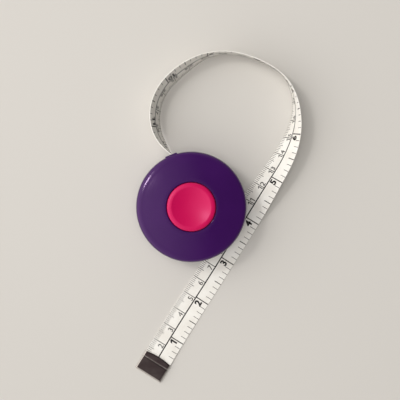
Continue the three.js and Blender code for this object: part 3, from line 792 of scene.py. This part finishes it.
def release_button():
    rim_in = BUTTON_R - BUTTON_RIM
    rim = bezier([
        (BUTTON_R, BUTTON_TOP_Z - BUTTON_RIM_ROUND), (BUTTON_R, BUTTON_TOP_Z - BUTTON_RIM_ROUND / 3),
        (BUTTON_R - BUTTON_RIM / 3, BUTTON_TOP_Z), (rim_in, BUTTON_TOP_Z)], RIM_STEPS)
    dish = [(r, DISH_FLOOR_Z + BUTTON_DISH * (r / rim_in) ** 2)
            for r in np.linspace(rim_in, 0, DISH_STEPS)[1:]]
    under = rounded([
        (0, STEM_BOTTOM_Z), (STEM_R, STEM_BOTTOM_Z), (STEM_R, DISC_TOP_Z + SEAT_GAP),
        (STEM_SHOULDER_R, DISC_TOP_Z + SEAT_GAP), (STEM_SHOULDER_R, CROWN_UNDER_Z),
        (BUTTON_R - BUTTON_WALL, CROWN_UNDER_Z), (BUTTON_R - BUTTON_WALL, LIP_BOTTOM_Z),
        (BUTTON_LIP_R, LIP_BOTTOM_Z), (BUTTON_LIP_R, LIP_TOP_Z), (BUTTON_R, LIP_TOP_Z),
        (BUTTON_R, BUTTON_TOP_Z - BUTTON_RIM_ROUND)], RING_ROUND)[:-1]
    return mesh_of(*turned(under + [tuple(p) for p in rim] + dish, even_angles(BUTTON_SIDES)))


# Free tape

ACROSS = 8
EDGE_STEPS = 4
EDGE_ROUND = 0.06
OTHER_FACE = 0.1


def tape_section():
    """Round the tape's section: place across and through it, and its place on the flat print."""
    flat = TAPE_WIDTH / 2 - EDGE_ROUND
    half = TAPE_THICK / 2
    section = [(w, half, w) for w in np.linspace(-flat, flat, ACROSS + 1)]
    for i in range(1, EDGE_STEPS):
        a = math.pi * i / EDGE_STEPS
        section.append((flat + EDGE_ROUND * math.sin(a), half * math.cos(a), flat + half * a))
    section += [(w, -half, -w) for w in np.linspace(flat, -flat, ACROSS + 1)]
    for i in range(1, EDGE_STEPS):
        a = math.pi * i / EDGE_STEPS
        section.append((-flat - EDGE_ROUND * math.sin(a), -half * math.cos(a), flat + half * a))
    return section


def free_tape():
    """The drawn-out tape, with a flat map for its print: metres from the scale's zero, metres across."""
    section = tape_section()
    count, stations = len(section), len(ROUTE_MIDDLE)
    points = np.concatenate([
        ROUTE_MIDDLE + w * ROUTE_WIDTH - h * ROUTE_FACE for w, h, _ in section
    ]).reshape(count, stations, 3).transpose(1, 0, 2).reshape(-1, 3)
    from_end = (ROUTE_LENGTH - np.linspace(0, ROUTE_LENGTH, stations) + CLIP_FOLD + PRINT_START) * MM
    edge_step = math.pi * TAPE_THICK / 2 / EDGE_STEPS * MM
    last_on_edge = (ACROSS + EDGE_STEPS - 1, count - 1)
    faces, flat = ring_faces(stations, count), []
    for i in range(stations - 1):
        for k in range(count):
            offset = 0.0 if k < ACROSS + EDGE_STEPS else OTHER_FACE
            v0 = section[k][2] * MM
            v1 = v0 + edge_step if k in last_on_edge else section[(k + 1) % count][2] * MM
            flat += [
                (from_end[i], v0 + offset), (from_end[i], v1 + offset),
                (from_end[i + 1], v1 + offset), (from_end[i + 1], v0 + offset)]
    for start, order in ((0, 1), ((stations - 1) * count, -1)):
        faces.append([start + k for k in range(count)][::order])
        flat += [(from_end[start // count], section[k][0] * MM + 3 * OTHER_FACE)
                 for k in range(count)][::order]
    mesh = raw_mesh(points, faces)
    uv = mesh.uv_layers.new(name=PRINT_UV)
    uv.data.foreach_set("uv", np.array(flat, np.float32).ravel())
    return facing_out(mesh, merge=False)


# Print on the tape. A row: spacing, count, left out every so many, inner end, outer end, weight

INCH = 25.4
NONE_LEFT_OUT = 1000
PRINT_EDGE = TAPE_WIDTH / 2 - 0.08
PRINT_ROWS = [
    (1.0, 301, 5, PRINT_EDGE - 2.4, PRINT_EDGE, 0.22),
    (5.0, 60, 2, PRINT_EDGE - 3.3, PRINT_EDGE, 0.28),
    (10.0, 30, NONE_LEFT_OUT, 0.1, PRINT_EDGE, 0.36),
    (INCH / 8, 95, 4, -PRINT_EDGE, 3.1 - PRINT_EDGE, 0.26),
    (INCH / 2, 23, 2, -PRINT_EDGE, 3.9 - PRINT_EDGE, 0.42),
    (INCH, 11, NONE_LEFT_OUT, -PRINT_EDGE, -0.1, 0.52),
]
CENTRE_LINE = 0.62
CENTRE_LINE_CUTS = 700
CENTRE_LINE_SHORT = 0.5
PRINT_START = 1.3
INK_LIFT = 0.004
INK_DEPTH = 0.02
CM_NUMBERS = range(2, 30)
INCH_NUMBERS = range(1, 12)
CM_HEIGHT = 2.9
CM_FOOT = 0.7
CM_BESIDE = 0.7
TENS_BESIDE = 0.6
INCH_HEIGHT = 3.9
INCH_HEAD = -0.65
INCH_BESIDE = 0.85
CM_BOLD = 0.004
TENS_BOLD = 0.014
INCH_BOLD = 0.045
DIGIT_GAP = 0.14
DIGIT_STEPS = 3
DIGIT_MERGE = 1e-4
STROKE = 0.12
STROKE_BOLD = 2.6


def one_lines(stem):
    """Outline of a one with a flag, one unit high."""
    right = 0.26 + stem
    return [[(0.26, 0), (right, 0), (right, 1), (0.28, 1), (0, 0.8), (0, 0.8 - 1.1 * stem),
             (0.26, 0.98 - 1.1 * stem)]]


def four_lines(stem):
    """Outline of a four, one unit high, and of the opening in it."""
    left, right = 0.505 - stem / 2, 0.505 + stem / 2
    low, high = 0.388 - 0.45 * stem, 0.388 + 0.45 * stem
    corner, top = low + 0.5 * stem, right - 0.55 * stem
    outside = [(left, 0), (right, 0), (right, low), (right + 0.105, low), (right + 0.105, high),
               (right, high), (right, 1), (top, 1), (0, corner), (0, low), (left, low)]
    slope = (1 - corner) / top
    start = corner - 0.76 * stem * math.hypot(1, slope)
    opening = [(left, high), (left, start + slope * left), ((high - start) / slope, high)]
    return [outside, opening]


DRAWN_DIGITS = {"1": one_lines, "4": four_lines}


def drawn_digit(text, bold):
    """A digit from its outlines, its strokes as heavy as those of the other digits."""
    curve = bpy.data.curves.new("digit", "CURVE")
    curve.dimensions, curve.fill_mode = "2D", "BOTH"
    for line in DRAWN_DIGITS[text](STROKE + STROKE_BOLD * bold):
        spline = curve.splines.new("POLY")
        spline.points.add(len(line) - 1)
        for spot, (x, y) in zip(spline.points, line):
            spot.co = (x, y, 0, 1)
        spline.use_cyclic_u = True
    return curve


def digit(text, height, bold):
    """Points and faces of a thin flat digit with its foot on the line and its left side at zero."""
    if text in DRAWN_DIGITS:
        shape = drawn_digit(text, bold)
    else:
        shape = bpy.data.curves.new("digit", "FONT")
        shape.body, shape.offset = text, bold
    shape.resolution_u = DIGIT_STEPS
    shape.extrude = 1.0
    holder = placed("holder", shape)
    bpy.context.view_layer.update()
    work = bmesh.new()
    work.from_mesh(evaluated(holder))
    bmesh.ops.remove_doubles(work, verts=work.verts, dist=DIGIT_MERGE)
    work.verts.index_update()
    points = np.array([v.co for v in work.verts])
    faces = [[v.index for v in face.verts] for face in work.faces]
    work.free()
    low, high = points.min(0), points.max(0)
    scale = height / (high[1] - low[1])
    points[:, :2] = (points[:, :2] - low[:2]) * scale
    points[:, 2] = INK_LIFT + (points[:, 2] > 0) * INK_DEPTH
    return points, faces


def numbers_mesh():
    """All the numbers of the scale, flat: x along the tape from its zero, y across to the cm side."""
    points, faces = [], []

    def put(text, height, bold, right, foot):
        for letter in reversed(text):
            p, f = digit(letter, height, bold)
            p += (right - p[:, 0].max(), foot, 0)
            right = p[:, 0].min() - DIGIT_GAP * height
            start = sum(len(q) for q in points)
            points.append(p)
            faces.extend([[start + i for i in face] for face in f])

    for n in CM_NUMBERS:
        line = 10.0 * n
        if n < 10:
            put(str(n), CM_HEIGHT, CM_BOLD, line - CM_BESIDE, CM_FOOT)
        else:
            tens, units = str(n)
            put(tens, CM_HEIGHT, TENS_BOLD, line - TENS_BESIDE, CM_FOOT)
            wide = digit(units, CM_HEIGHT, TENS_BOLD)[0][:, 0].max()
            put(units, CM_HEIGHT, TENS_BOLD, line + TENS_BESIDE + wide, CM_FOOT)
    for n in INCH_NUMBERS:
        put(str(n), INCH_HEIGHT, INCH_BOLD, INCH * n - INCH_BESIDE, INCH_HEAD - INCH_HEIGHT)
    return raw_mesh(np.concatenate(points), faces)


def lay_on_tape_group():
    """Lays flat print on one face of the tape, by the tape's flat map."""
    tree, given, put = node_group(
        "lay on tape", "GeometryNodeTree",
        [("Print", GEOMETRY), ("Tape", GEOMETRY), ("Face", FLOAT)], [("Print", GEOMETRY)],
    )
    flat_place = add(tree, "GeometryNodeInputPosition").outputs[0]
    flat = add(tree, "ShaderNodeSeparateXYZ", {0: flat_place}).outputs
    across = math_node(tree, "ADD", flat["Y"], given["Face"])
    spot = add(tree, "ShaderNodeCombineXYZ", {"X": flat["X"], "Y": across}).outputs[0]
    chart = add(tree, "GeometryNodeInputNamedAttribute", {"Name": PRINT_UV}, data_type="FLOAT_VECTOR")
    found = []
    for value in ("GeometryNodeInputPosition", "GeometryNodeInputNormal"):
        sample = add(tree, "GeometryNodeSampleUVSurface", data_type="FLOAT_VECTOR", inputs={
            "Mesh": given["Tape"], "Value": add(tree, value).outputs[0],
            "UV Map": chart.outputs["Attribute"], "Sample UV": spot})
        found.append(sample.outputs["Value"])
    lift = add(tree, "ShaderNodeVectorMath", {0: found[1], "Scale": flat["Z"]}, operation="SCALE")
    place = add(tree, "ShaderNodeVectorMath", {0: found[0], 1: lift.outputs[0]}, operation="ADD")
    laid = add(tree, "GeometryNodeSetPosition", {"Geometry": given["Print"], "Position": place.outputs[0]})
    tree.links.new(laid.outputs["Geometry"], put["Print"])
    return tree


def scale_row_group():
    """A row of equal marks across the tape, without those that another row draws or the clip covers."""
    tree, given, put = node_group(
        "scale row", "GeometryNodeTree",
        [("Spacing", FLOAT), ("Count", WHOLE), ("Left Out", WHOLE), ("Inner End", FLOAT),
         ("Outer End", FLOAT), ("Weight", FLOAT), ("Depth", FLOAT), ("Lift", FLOAT), ("Covered", FLOAT)],
        [("Marks", GEOMETRY)],
    )
    ends = math_node(tree, "ADD", given["Inner End"], given["Outer End"])
    middle = math_node(tree, "MULTIPLY", ends, 0.5)
    height = math_node(tree, "MULTIPLY_ADD", given["Depth"], 0.5, given["Lift"])
    start = add(tree, "ShaderNodeCombineXYZ", {"X": given["Spacing"], "Y": middle, "Z": height})
    step = add(tree, "ShaderNodeCombineXYZ", {"X": given["Spacing"]})
    line = add(tree, "GeometryNodeMeshLine", {
        "Count": given["Count"], "Start Location": start.outputs[0], "Offset": step.outputs[0]})
    number = add(tree, "FunctionNodeIntegerMath", {
        0: add(tree, "GeometryNodeInputIndex").outputs[0], 1: 1}, operation="ADD")
    rest = add(tree, "FunctionNodeIntegerMath", {
        0: number.outputs[0], 1: given["Left Out"]}, operation="MODULO")
    taken = add(tree, "FunctionNodeCompare", {2: rest.outputs[0], 3: 0}, data_type="INT", operation="EQUAL")
    along = add(tree, "ShaderNodeSeparateXYZ", {0: add(tree, "GeometryNodeInputPosition").outputs[0]})
    under = add(tree, "FunctionNodeCompare", {
        0: along.outputs["X"], 1: given["Covered"]}, data_type="FLOAT", operation="LESS_THAN")
    either = add(tree, "FunctionNodeBooleanMath", {
        0: taken.outputs[0], 1: under.outputs[0]}, operation="OR")
    kept = add(tree, "GeometryNodeDeleteGeometry", {
        "Geometry": line.outputs["Mesh"], "Selection": either.outputs[0]})
    size = add(tree, "ShaderNodeCombineXYZ", {
        "X": given["Weight"],
        "Y": math_node(tree, "SUBTRACT", given["Outer End"], given["Inner End"]), "Z": given["Depth"]})
    mark = add(tree, "GeometryNodeMeshCube", {"Size": size.outputs[0]})
    marks = add(tree, "GeometryNodeInstanceOnPoints", {
        "Points": kept.outputs["Geometry"], "Instance": mark.outputs["Mesh"]})
    real = add(tree, "GeometryNodeRealizeInstances", {"Geometry": marks.outputs["Instances"]})
    tree.links.new(real.outputs["Geometry"], put["Marks"])
    return tree


def print_tree():
    """The whole scale on both faces of the tape, from its flat numbers."""
    tree, given, put = node_group(
        "tape print", "GeometryNodeTree",
        [("Numbers", GEOMETRY), ("Tape", THING), ("Line Weight", FLOAT), ("Line Length", FLOAT),
         ("Ink Depth", FLOAT), ("Ink Lift", FLOAT), ("Covered", FLOAT)], [("Print", GEOMETRY)],
    )
    row_group, lay_group = scale_row_group(), lay_on_tape_group()
    art = add(tree, "GeometryNodeJoinGeometry")
    tree.links.new(given["Numbers"], art.inputs[0])
    for spacing, count, left_out, inner, outer, weight in PRINT_ROWS:
        row = add(tree, "GeometryNodeGroup", node_tree=row_group, inputs={
            "Spacing": spacing * MM, "Count": count, "Left Out": left_out, "Inner End": inner * MM,
            "Outer End": outer * MM, "Weight": weight * MM, "Depth": given["Ink Depth"],
            "Lift": given["Ink Lift"], "Covered": given["Covered"]})
        tree.links.new(row.outputs["Marks"], art.inputs[0])
    size = add(tree, "ShaderNodeCombineXYZ", {
        "X": given["Line Length"], "Y": given["Line Weight"], "Z": given["Ink Depth"]})
    line = add(tree, "GeometryNodeMeshCube", {"Size": size.outputs[0], "Vertices X": CENTRE_LINE_CUTS})
    shift = add(tree, "ShaderNodeCombineXYZ", {
        "X": math_node(tree, "MULTIPLY_ADD", given["Line Length"], 0.5, given["Covered"]),
        "Z": math_node(tree, "MULTIPLY_ADD", given["Ink Depth"], 0.5, given["Ink Lift"])})
    moved = add(tree, "GeometryNodeTransform", {
        "Geometry": line.outputs["Mesh"], "Translation": shift.outputs[0]})
    tree.links.new(moved.outputs["Geometry"], art.inputs[0])
    tape = add(tree, "GeometryNodeObjectInfo", {"Object": given["Tape"]})
    both = add(tree, "GeometryNodeJoinGeometry")
    for face in (0.0, OTHER_FACE):
        laid = add(tree, "GeometryNodeGroup", node_tree=lay_group, inputs={
            "Print": art.outputs[0], "Tape": tape.outputs["Geometry"], "Face": face})
        tree.links.new(laid.outputs["Print"], both.inputs[0])
    real = add(tree, "GeometryNodeRealizeInstances", {"Geometry": both.outputs[0]})
    inked = add(tree, "GeometryNodeSetMaterial", {
        "Geometry": real.outputs["Geometry"], "Material": PRINT_INK})
    tree.links.new(inked.outputs["Geometry"], put["Print"])
    return tree


def with_nodes(data, tree, values):
    """The mesh that a node tree makes from the data, with its named inputs set."""
    holder = placed("holder", data)
    nodes = holder.modifiers.new("nodes", "NODES")
    nodes.node_group = tree
    for item in tree.interface.items_tree:
        if item.in_out == "INPUT" and item.name in values:
            nodes[item.identifier] = values[item.name]
    bpy.context.view_layer.update()
    return evaluated(holder)


def tape_print(tape):
    """The scale on a tape, but for the stretch that the clip covers."""
    covered = (CLIP_LENGTH + PRINT_START) * MM
    return with_nodes(numbers_mesh(), print_tree(), {
        "Tape": tape, "Line Weight": CENTRE_LINE * MM, "Ink Depth": INK_DEPTH * MM,
        "Line Length": (ROUTE_LENGTH + CLIP_FOLD + PRINT_START - CENTRE_LINE_SHORT) * MM - covered,
        "Ink Lift": INK_LIFT * MM, "Covered": covered})


# End clip

CLIP_CRIMP = 0.24
CLIP_CRIMP_AT = 3.4
CLIP_CRIMP_WIDTH = 0.42
CLIP_CRIMP_RIPPLE = 0.12
CLIP_END_DIP = 0.14
CLIP_END_DIP_LENGTH = 0.4
CLIP_ROLL = 0.85
CLIP_ROLL_DROP = 0.5
CLIP_LEG_STEPS = 121
# Where the clip's metal is lighter: painted highlight along the crease, at the fold and on the rolled
# sides, and rubbing there as well.
CREASE_HIGHLIGHT_AND_WEAR = 0.75
CREASE_HIGHLIGHT_AND_WEAR_WIDTH = 0.7 * CLIP_CRIMP_WIDTH
FOLD_HIGHLIGHT_AND_WEAR = (CLIP_LENGTH - 1.1, CLIP_LENGTH - 0.8)
SIDE_HIGHLIGHT_AND_WEAR = (0.15, 0.45)


def clip_line(start, depth):
    """Middle line of the folded strip, from the upper leg's end round the fold to the lower leg's end."""
    middle = TAPE_THICK / 2 + CLIP_TAPE_GAP + CLIP_THICK / 2
    fold = CLIP_LENGTH - middle - CLIP_THICK / 2
    leg = start + (fold - start) * np.linspace(0, 1, CLIP_LEG_STEPS)
    dip = depth * np.exp(-((leg - CLIP_CRIMP_AT) / CLIP_CRIMP_WIDTH) ** 2)
    dip += CLIP_END_DIP * np.exp(-(leg - start) / CLIP_END_DIP_LENGTH)
    upper = [(x, middle - d) for x, d in zip(leg, dip)]
    turn = np.linspace(math.pi / 2, -math.pi / 2, 13)[1:-1]
    bend = [(fold + middle * math.cos(a), middle * math.sin(a)) for a in turn]
    return np.array(upper + bend + [(x, -z) for x, z in upper[::-1]])


def end_clip():
    """One strip of metal folded over the tape's end, creased across and rolled in along its sides."""
    half = TAPE_WIDTH / 2 + CLIP_SIDE
    bow = (half ** 2 + CLIP_END_BULGE ** 2) / (2 * CLIP_END_BULGE)
    sides = half - CLIP_ROLL * (1 - np.sin(np.linspace(0, math.pi / 2, 9)))
    flat = np.linspace(-half + CLIP_ROLL, half - CLIP_ROLL, 15)[1:-1]
    across = np.concatenate([-sides[::-1], flat, sides])
    points, lightened = [], []
    for y in across:
        into = max(0.0, (abs(y) - half + CLIP_ROLL) / CLIP_ROLL)
        drop = CLIP_ROLL_DROP * (1 - math.sqrt(max(0.0, 1 - into ** 2)))
        depth = 0.5 + 0.5 * (y / half) ** 2 + CLIP_CRIMP_RIPPLE * math.cos(4 * y)
        line = clip_line(bow - math.sqrt(bow ** 2 - y ** 2), CLIP_CRIMP * depth)
        way = np.gradient(line, axis=0)
        way /= np.linalg.norm(way, axis=1, keepdims=True)
        normal = np.stack([way[:, 1], -way[:, 0]], 1) * CLIP_THICK / 2
        outline = np.concatenate([line - normal, (line + normal)[::-1]])
        points += [(x, y, z - math.copysign(min(drop, abs(z) * 0.5), z)) for x, z in outline]
        # Painted highlight, with some rubbing: the share of lighter metal along the crease, at the fold and
        # on the rolled sides.
        crease = CREASE_HIGHLIGHT_AND_WEAR * depth * np.exp(-((outline[:, 0] - CLIP_CRIMP_AT) / CREASE_HIGHLIGHT_AND_WEAR_WIDTH) ** 2)
        fold = smooth_step(outline[:, 0], *FOLD_HIGHLIGHT_AND_WEAR)
        lightened += np.maximum(np.maximum(crease, fold), smooth_step(into, *SIDE_HIGHLIGHT_AND_WEAR)).tolist()
    count = len(points) // len(across)
    faces = ring_faces(len(across), count)
    last = (len(across) - 1) * count
    for k in range(count // 2 - 1):
        a, b, c, d = k, k + 1, count - 2 - k, count - 1 - k
        faces.append((a, b, c, d))
        faces.append((last + d, last + c, last + b, last + a))
    points = np.array(points)
    points[:, 0] -= CLIP_LENGTH - CLIP_FOLD
    ahead = ROUTE_AHEAD[-1]
    side = np.array([-ahead[1], ahead[0], 0])
    up = np.array([0, 0, 1])
    place = points[:, :1] * ahead + points[:, 1:2] * side + points[:, 2:] * up + ROUTE_MIDDLE[-1]
    mesh = mesh_of(place, faces)
    # The painted highlight and rubbing go on the clip as a point attribute.
    mark = mesh.attributes.new(HIGHLIGHT_AND_WEAR, "FLOAT", "POINT")
    mark.data.foreach_set("value", np.array(lightened, np.float32))
    return mesh


# Wound strips and wire

COIL_SIDES = 72
COIL_EDGE = 0.1
MAINSPRING_SIDES = 60
MAINSPRING_EDGE = 0.06
WIRE_STEPS = 40
WIRE_EDGE = 0.999 * SPRING_WIRE_R


def strip_tree():
    """A strip or wire that follows a line, with its long edges rounded."""
    tree, given, put = node_group(
        "strip along a line", "GeometryNodeTree",
        [("Line", GEOMETRY), ("Thickness", FLOAT), ("Height", FLOAT), ("Edge Round", FLOAT),
         ("Material", FINISH)], [("Strip", GEOMETRY)],
    )
    outline = add(tree, "GeometryNodeCurvePrimitiveQuadrilateral", {
        "Width": given["Thickness"], "Height": given["Height"]})
    soft = add(tree, "GeometryNodeFilletCurve", {
        "Curve": outline.outputs["Curve"], "Radius": given["Edge Round"], "Count": 3}, mode="POLY")
    upright_line = add(tree, "GeometryNodeSetCurveNormal", {"Curve": given["Line"]}, mode="Z_UP")
    strip = add(tree, "GeometryNodeCurveToMesh", {
        "Curve": upright_line.outputs["Curve"], "Profile Curve": soft.outputs["Curve"], "Fill Caps": True})
    real = add(tree, "GeometryNodeRealizeInstances", {"Geometry": strip.outputs["Mesh"]})
    made = add(tree, "GeometryNodeSetMaterial", {
        "Geometry": real.outputs["Geometry"], "Material": given["Material"]})
    tree.links.new(made.outputs["Geometry"], put["Strip"])
    return tree


STRIP_TREE = strip_tree()


def strip_along(points, thick, height, edge, material):
    """A strip or wire on a line of points in millimetres, its section upright."""
    line = bpy.data.curves.new("line", "CURVE")
    line.dimensions = "3D"
    spline = line.splines.new("POLY")
    spline.points.add(len(points) - 1)
    for spot, p in zip(spline.points, points):
        spot.co = (*(float(c) * MM for c in p), 1)
    return facing_out(with_nodes(line, STRIP_TREE, {
        "Thickness": thick * MM, "Height": height * MM, "Edge Round": edge * MM, "Material": material}))


def spiral(start_r, pitch, turns, start_angle, z, sides):
    turn = np.linspace(0, turns, math.ceil(turns * sides) + 1)
    r, a = start_r + pitch * turn, start_angle + 2 * math.pi * turn
    return np.stack([r * np.cos(a), r * np.sin(a), np.full(len(turn), z)], 1)


def wound_tape():
    line = spiral(COIL_START_R, COIL_PITCH, COIL_TURNS, COIL_START_ANGLE, TAPE_MIDDLE_Z, COIL_SIDES)
    return strip_along(line, TAPE_THICK, TAPE_WIDTH, COIL_EDGE, TAPE_CLOTH)


def mainspring():
    inner = REEL_BORE_R + MAINSPRING_THICK
    outer = DRUM_LOW_BORE_R - RUN_GAP - MAINSPRING_THICK
    z = (MAINSPRING_Z + MAINSPRING_TOP_Z) / 2
    pitch = (outer - inner) / MAINSPRING_TURNS
    turns = spiral(inner, pitch, MAINSPRING_TURNS, 0, z, MAINSPRING_SIDES)
    hook = np.array([(ARBOR_R - MAINSPRING_HOOK, 0, z), (ARBOR_R, 0, z)])
    line = np.concatenate([hook, turns[3:]])
    height = MAINSPRING_TOP_Z - MAINSPRING_Z
    return strip_along(line, MAINSPRING_THICK, height, MAINSPRING_EDGE, SPRING_STEEL)


def button_spring():
    t = np.linspace(0, 1, SPRING_TURNS * WIRE_STEPS + 1)
    a = 2 * math.pi * SPRING_TURNS * t
    line = np.stack([
        SPRING_R * np.cos(a), SPRING_R * np.sin(a), SPRING_LOW_Z + (SPRING_HIGH_Z - SPRING_LOW_Z) * t], 1)
    return strip_along(line, 2 * SPRING_WIRE_R, 2 * SPRING_WIRE_R, WIRE_EDGE, SPRING_STEEL)


# Turned pieces inside the case

TURNED_SIDES = 120
TURNED_ROUND = 0.12


def turned_piece(profile):
    return mesh_of(*turned(rounded(profile, TURNED_ROUND), even_angles(TURNED_SIDES)))


def flat_ring(inner, outer, bottom, top):
    return turned_piece([(inner, bottom), (outer, bottom), (outer, top), (inner, top)])


GROOVE_FLOOR_R = DRUM_R - ANCHOR_THICK - SEAT_GAP


def anchor_place(radius):
    return radius * math.cos(COIL_START_ANGLE), radius * math.sin(COIL_START_ANGLE), TAPE_MIDDLE_Z


def reel_drum():
    body = turned_piece([
        (REEL_BORE_R, REEL_BOTTOM_Z), (FLANGE_R, REEL_BOTTOM_Z), (FLANGE_R, WEB_TOP_Z), (DRUM_R, WEB_TOP_Z),
        (DRUM_R, DRUM_TOP_Z), (DRUM_TOP_BORE_R, DRUM_TOP_Z), (DRUM_TOP_BORE_R, TRACK_LEDGE_Z),
        (DRUM_MID_BORE_R, TRACK_LEDGE_Z), (DRUM_MID_BORE_R, SPRING_LEDGE_Z),
        (DRUM_LOW_BORE_R, SPRING_LEDGE_Z), (DRUM_LOW_BORE_R, WEB_TOP_Z), (REEL_BORE_R, WEB_TOP_Z)])
    depth = DRUM_R - GROOVE_FLOOR_R + RUN_GAP
    size = (depth, ANCHOR_WIDTH + 2 * SEAT_GAP, TAPE_WIDTH)
    return cut_out(body, box_mesh(size, COIL_START_ANGLE, anchor_place(GROOVE_FLOOR_R + depth / 2)))


def reel_upper_flange():
    return turned_piece([
        (SPIGOT_INNER_R, SPIGOT_BOTTOM_Z), (SPIGOT_OUTER_R, SPIGOT_BOTTOM_Z),
        (SPIGOT_OUTER_R, UPPER_FLANGE_Z), (FLANGE_R, UPPER_FLANGE_Z), (FLANGE_R, UPPER_FLANGE_TOP_Z),
        (SPIGOT_INNER_R, UPPER_FLANGE_TOP_Z)])


def spring_arbor():
    bottom = CASE_WALL + SEAT_GAP
    body = turned_piece([
        (0, bottom), (ARBOR_R, bottom), (ARBOR_R, ARBOR_TOP_Z), (POCKET_R, ARBOR_TOP_Z),
        (POCKET_R, POCKET_FLOOR_Z), (STEM_BORE_R, POCKET_FLOOR_Z), (STEM_BORE_R, GUIDE_FLOOR_Z),
        (0, GUIDE_FLOOR_Z)])
    depth = MAINSPRING_HOOK + SEAT_GAP
    size = (depth + RUN_GAP, MAINSPRING_THICK + 2 * SEAT_GAP, ARBOR_TOP_Z - WEB_TOP_Z)
    place = (ARBOR_R - depth + (depth + RUN_GAP) / 2, 0, (ARBOR_TOP_Z + WEB_TOP_Z) / 2)
    return cut_out(body, box_mesh(size, 0, place))


def tape_anchor():
    return box_mesh(
        (ANCHOR_THICK, ANCHOR_WIDTH, TAPE_WIDTH - 2 * SEAT_GAP), COIL_START_ANGLE,
        anchor_place(GROOVE_FLOOR_R + SEAT_GAP + ANCHOR_THICK / 2))


# Stage

CAMERA_HEIGHT = 0.38
CAMERA_OVER = (0.00442, 0.00355)
FRAME_WIDTH = 0.2162
SENSOR = 36.0
FLOOR_REACH = 40.0
FLOOR_COLOUR = (0.60, 0.575, 0.54, 1)
FLOOR_ROUGHNESS = 0.75
ROOM_COLOUR = (1.0, 0.985, 0.965, 1)
BRIGHT_SIDE = (-0.82, -0.08, 0.57)
LAMP_COLOUR = (1.0, 0.985, 0.96)
LAMP_AIM = (0.01, 0, 0)


def stage_floor():
    mesh = bpy.data.meshes.new("floor")
    signs = [(-1, -1), (1, -1), (1, 1), (-1, 1)]
    mesh.from_pydata([(x * FLOOR_REACH, y * FLOOR_REACH, 0) for x, y in signs], [], [(0, 1, 2, 3)])
    material, tree, shader = blank_material("pale_floor")
    plug(tree, shader, {"Base Color": FLOOR_COLOUR, "Roughness": FLOOR_ROUGHNESS})
    mesh.materials.append(material)
    floor = placed("floor", mesh)


def area_light(name, place, size, power):
    """A round lamp that points at the part."""
    data = bpy.data.lights.new(name, "AREA")
    data.shape, data.size, data.energy, data.color = "DISK", size, power, LAMP_COLOUR
    lamp = placed(name, data)
    lamp.location = place
    lamp.rotation_mode = "QUATERNION"
    lamp.rotation_quaternion = (Vector(LAMP_AIM) - Vector(place)).to_track_quat("-Z", "Y")
    return lamp


def studio_light():
    """A room brighter to the left, a wide soft lamp with a small one in it, and one overhead."""
    world = bpy.data.worlds.new("studio")
    bpy.context.scene.world = world
    world.use_nodes = True
    tree = world.node_tree
    way = add(tree, "ShaderNodeTexCoord").outputs["Generated"]
    towards = add(tree, "ShaderNodeVectorMath", {0: way, 1: BRIGHT_SIDE}, operation="DOT_PRODUCT")
    parts = add(tree, "ShaderNodeSeparateXYZ", {0: way}).outputs
    left = ranged(tree, towards.outputs["Value"], 0.03, 1.25, 0.45, 0.95)
    walls = ranged(tree, parts["Z"], 0.8, 0.05, 0.2, 0.98)
    dimmer = ranged(tree, parts["X"], 1.0, 0.2, 0.2, 0.75)
    plug(tree, tree.nodes["Background"], {
        "Color": ROOM_COLOUR, "Strength": math_node(tree, "MULTIPLY_ADD", walls, dimmer, left)})
    wide = area_light("wide_lamp", (-0.40, 0.29, 0.66), 0.34, 0.9)
    overhead = area_light("over_lamp", (0, 0, 0.9), 0.5, 2.35)
    wide.visible_glossy = overhead.visible_glossy = False
    area_light("small_lamp", (-0.36, 0.196, 0.69), 0.095, 0.85)


def overhead_camera():
    data = bpy.data.cameras.new("camera")
    data.sensor_width = SENSOR
    data.lens = SENSOR * CAMERA_HEIGHT / FRAME_WIDTH
    camera = placed("camera", data)
    camera.location = (*CAMERA_OVER, CAMERA_HEIGHT)
    bpy.context.scene.camera = camera


# Assembly

overhead_camera()
studio_light()
stage_floor()

tape = piece_of(free_tape(), "drawn_tape", TAPE_CLOTH, "case", "tape_cloth", "tape_free")
scale = piece_of(tape_print(tape), "tape_scale", None, "case", None)
clip = piece_of(end_clip(), "folded_clip", CLIP_METAL, "case", "clip_metal", "end_clip")

piece_of(front_cover(), "case_front", CASE_PLASTIC, "case", "case_plastic", "front_cover")
piece_of(rear_cover(), "case_rear", CASE_PLASTIC, "case", "case_plastic", "rear_cover")
piece_of(release_button(), "push_button", BUTTON_PLASTIC, "button", "button_plastic", "release_button",
         sharp=BUTTON_SHARP)
piece_of(wound_tape(), "wound_tape", TAPE_CLOTH, "reel", "tape_cloth", "tape_coil")
piece_of(mainspring(), "flat_spring", SPRING_STEEL, "case", "spring_steel", "mainspring")
piece_of(reel_drum(), "drum", REEL_PLASTIC, "reel", "reel_plastic", "reel_drum")
piece_of(reel_upper_flange(), "drum_flange", REEL_PLASTIC, "reel", "reel_plastic", "reel_upper_flange")
piece_of(flat_ring(TRACK_INNER_R, SPIGOT_OUTER_R, TRACK_BOTTOM_Z, TRACK_TOP_Z),
         "track_ring", SPRING_STEEL, "reel", "spring_steel", "brake_track")
piece_of(flat_ring(REEL_BORE_R, DRUM_MID_BORE_R - SEAT_GAP, SPRING_COVER_Z, ARBOR_TOP_Z),
         "spring_lid", INNER_PLASTIC, "reel", "inner_plastic", "spring_cover")
piece_of(tape_anchor(), "anchor_strip", SPRING_STEEL, "reel", "spring_steel", "tape_anchor")
piece_of(spring_arbor(), "centre_post", INNER_PLASTIC, "case", "inner_plastic", "spring_arbor")
piece_of(flat_ring(STEM_BORE_R, DISC_R, DISC_BOTTOM_Z, DISC_TOP_Z),
         "brake_plate", INNER_PLASTIC, "button", "inner_plastic", "brake_disc")
piece_of(flat_ring(LINING_INNER_R, DISC_R, LINING_BOTTOM_Z, LINING_TOP_Z),
         "friction_ring", LINING_RUBBER, "button", "lining_rubber", "brake_lining")
coil = piece_of(button_spring(), "return_spring", SPRING_STEEL, "case", "spring_steel", "button_spring")
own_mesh(coil)

bpy.context.scene.view_settings.view_transform = "Standard"
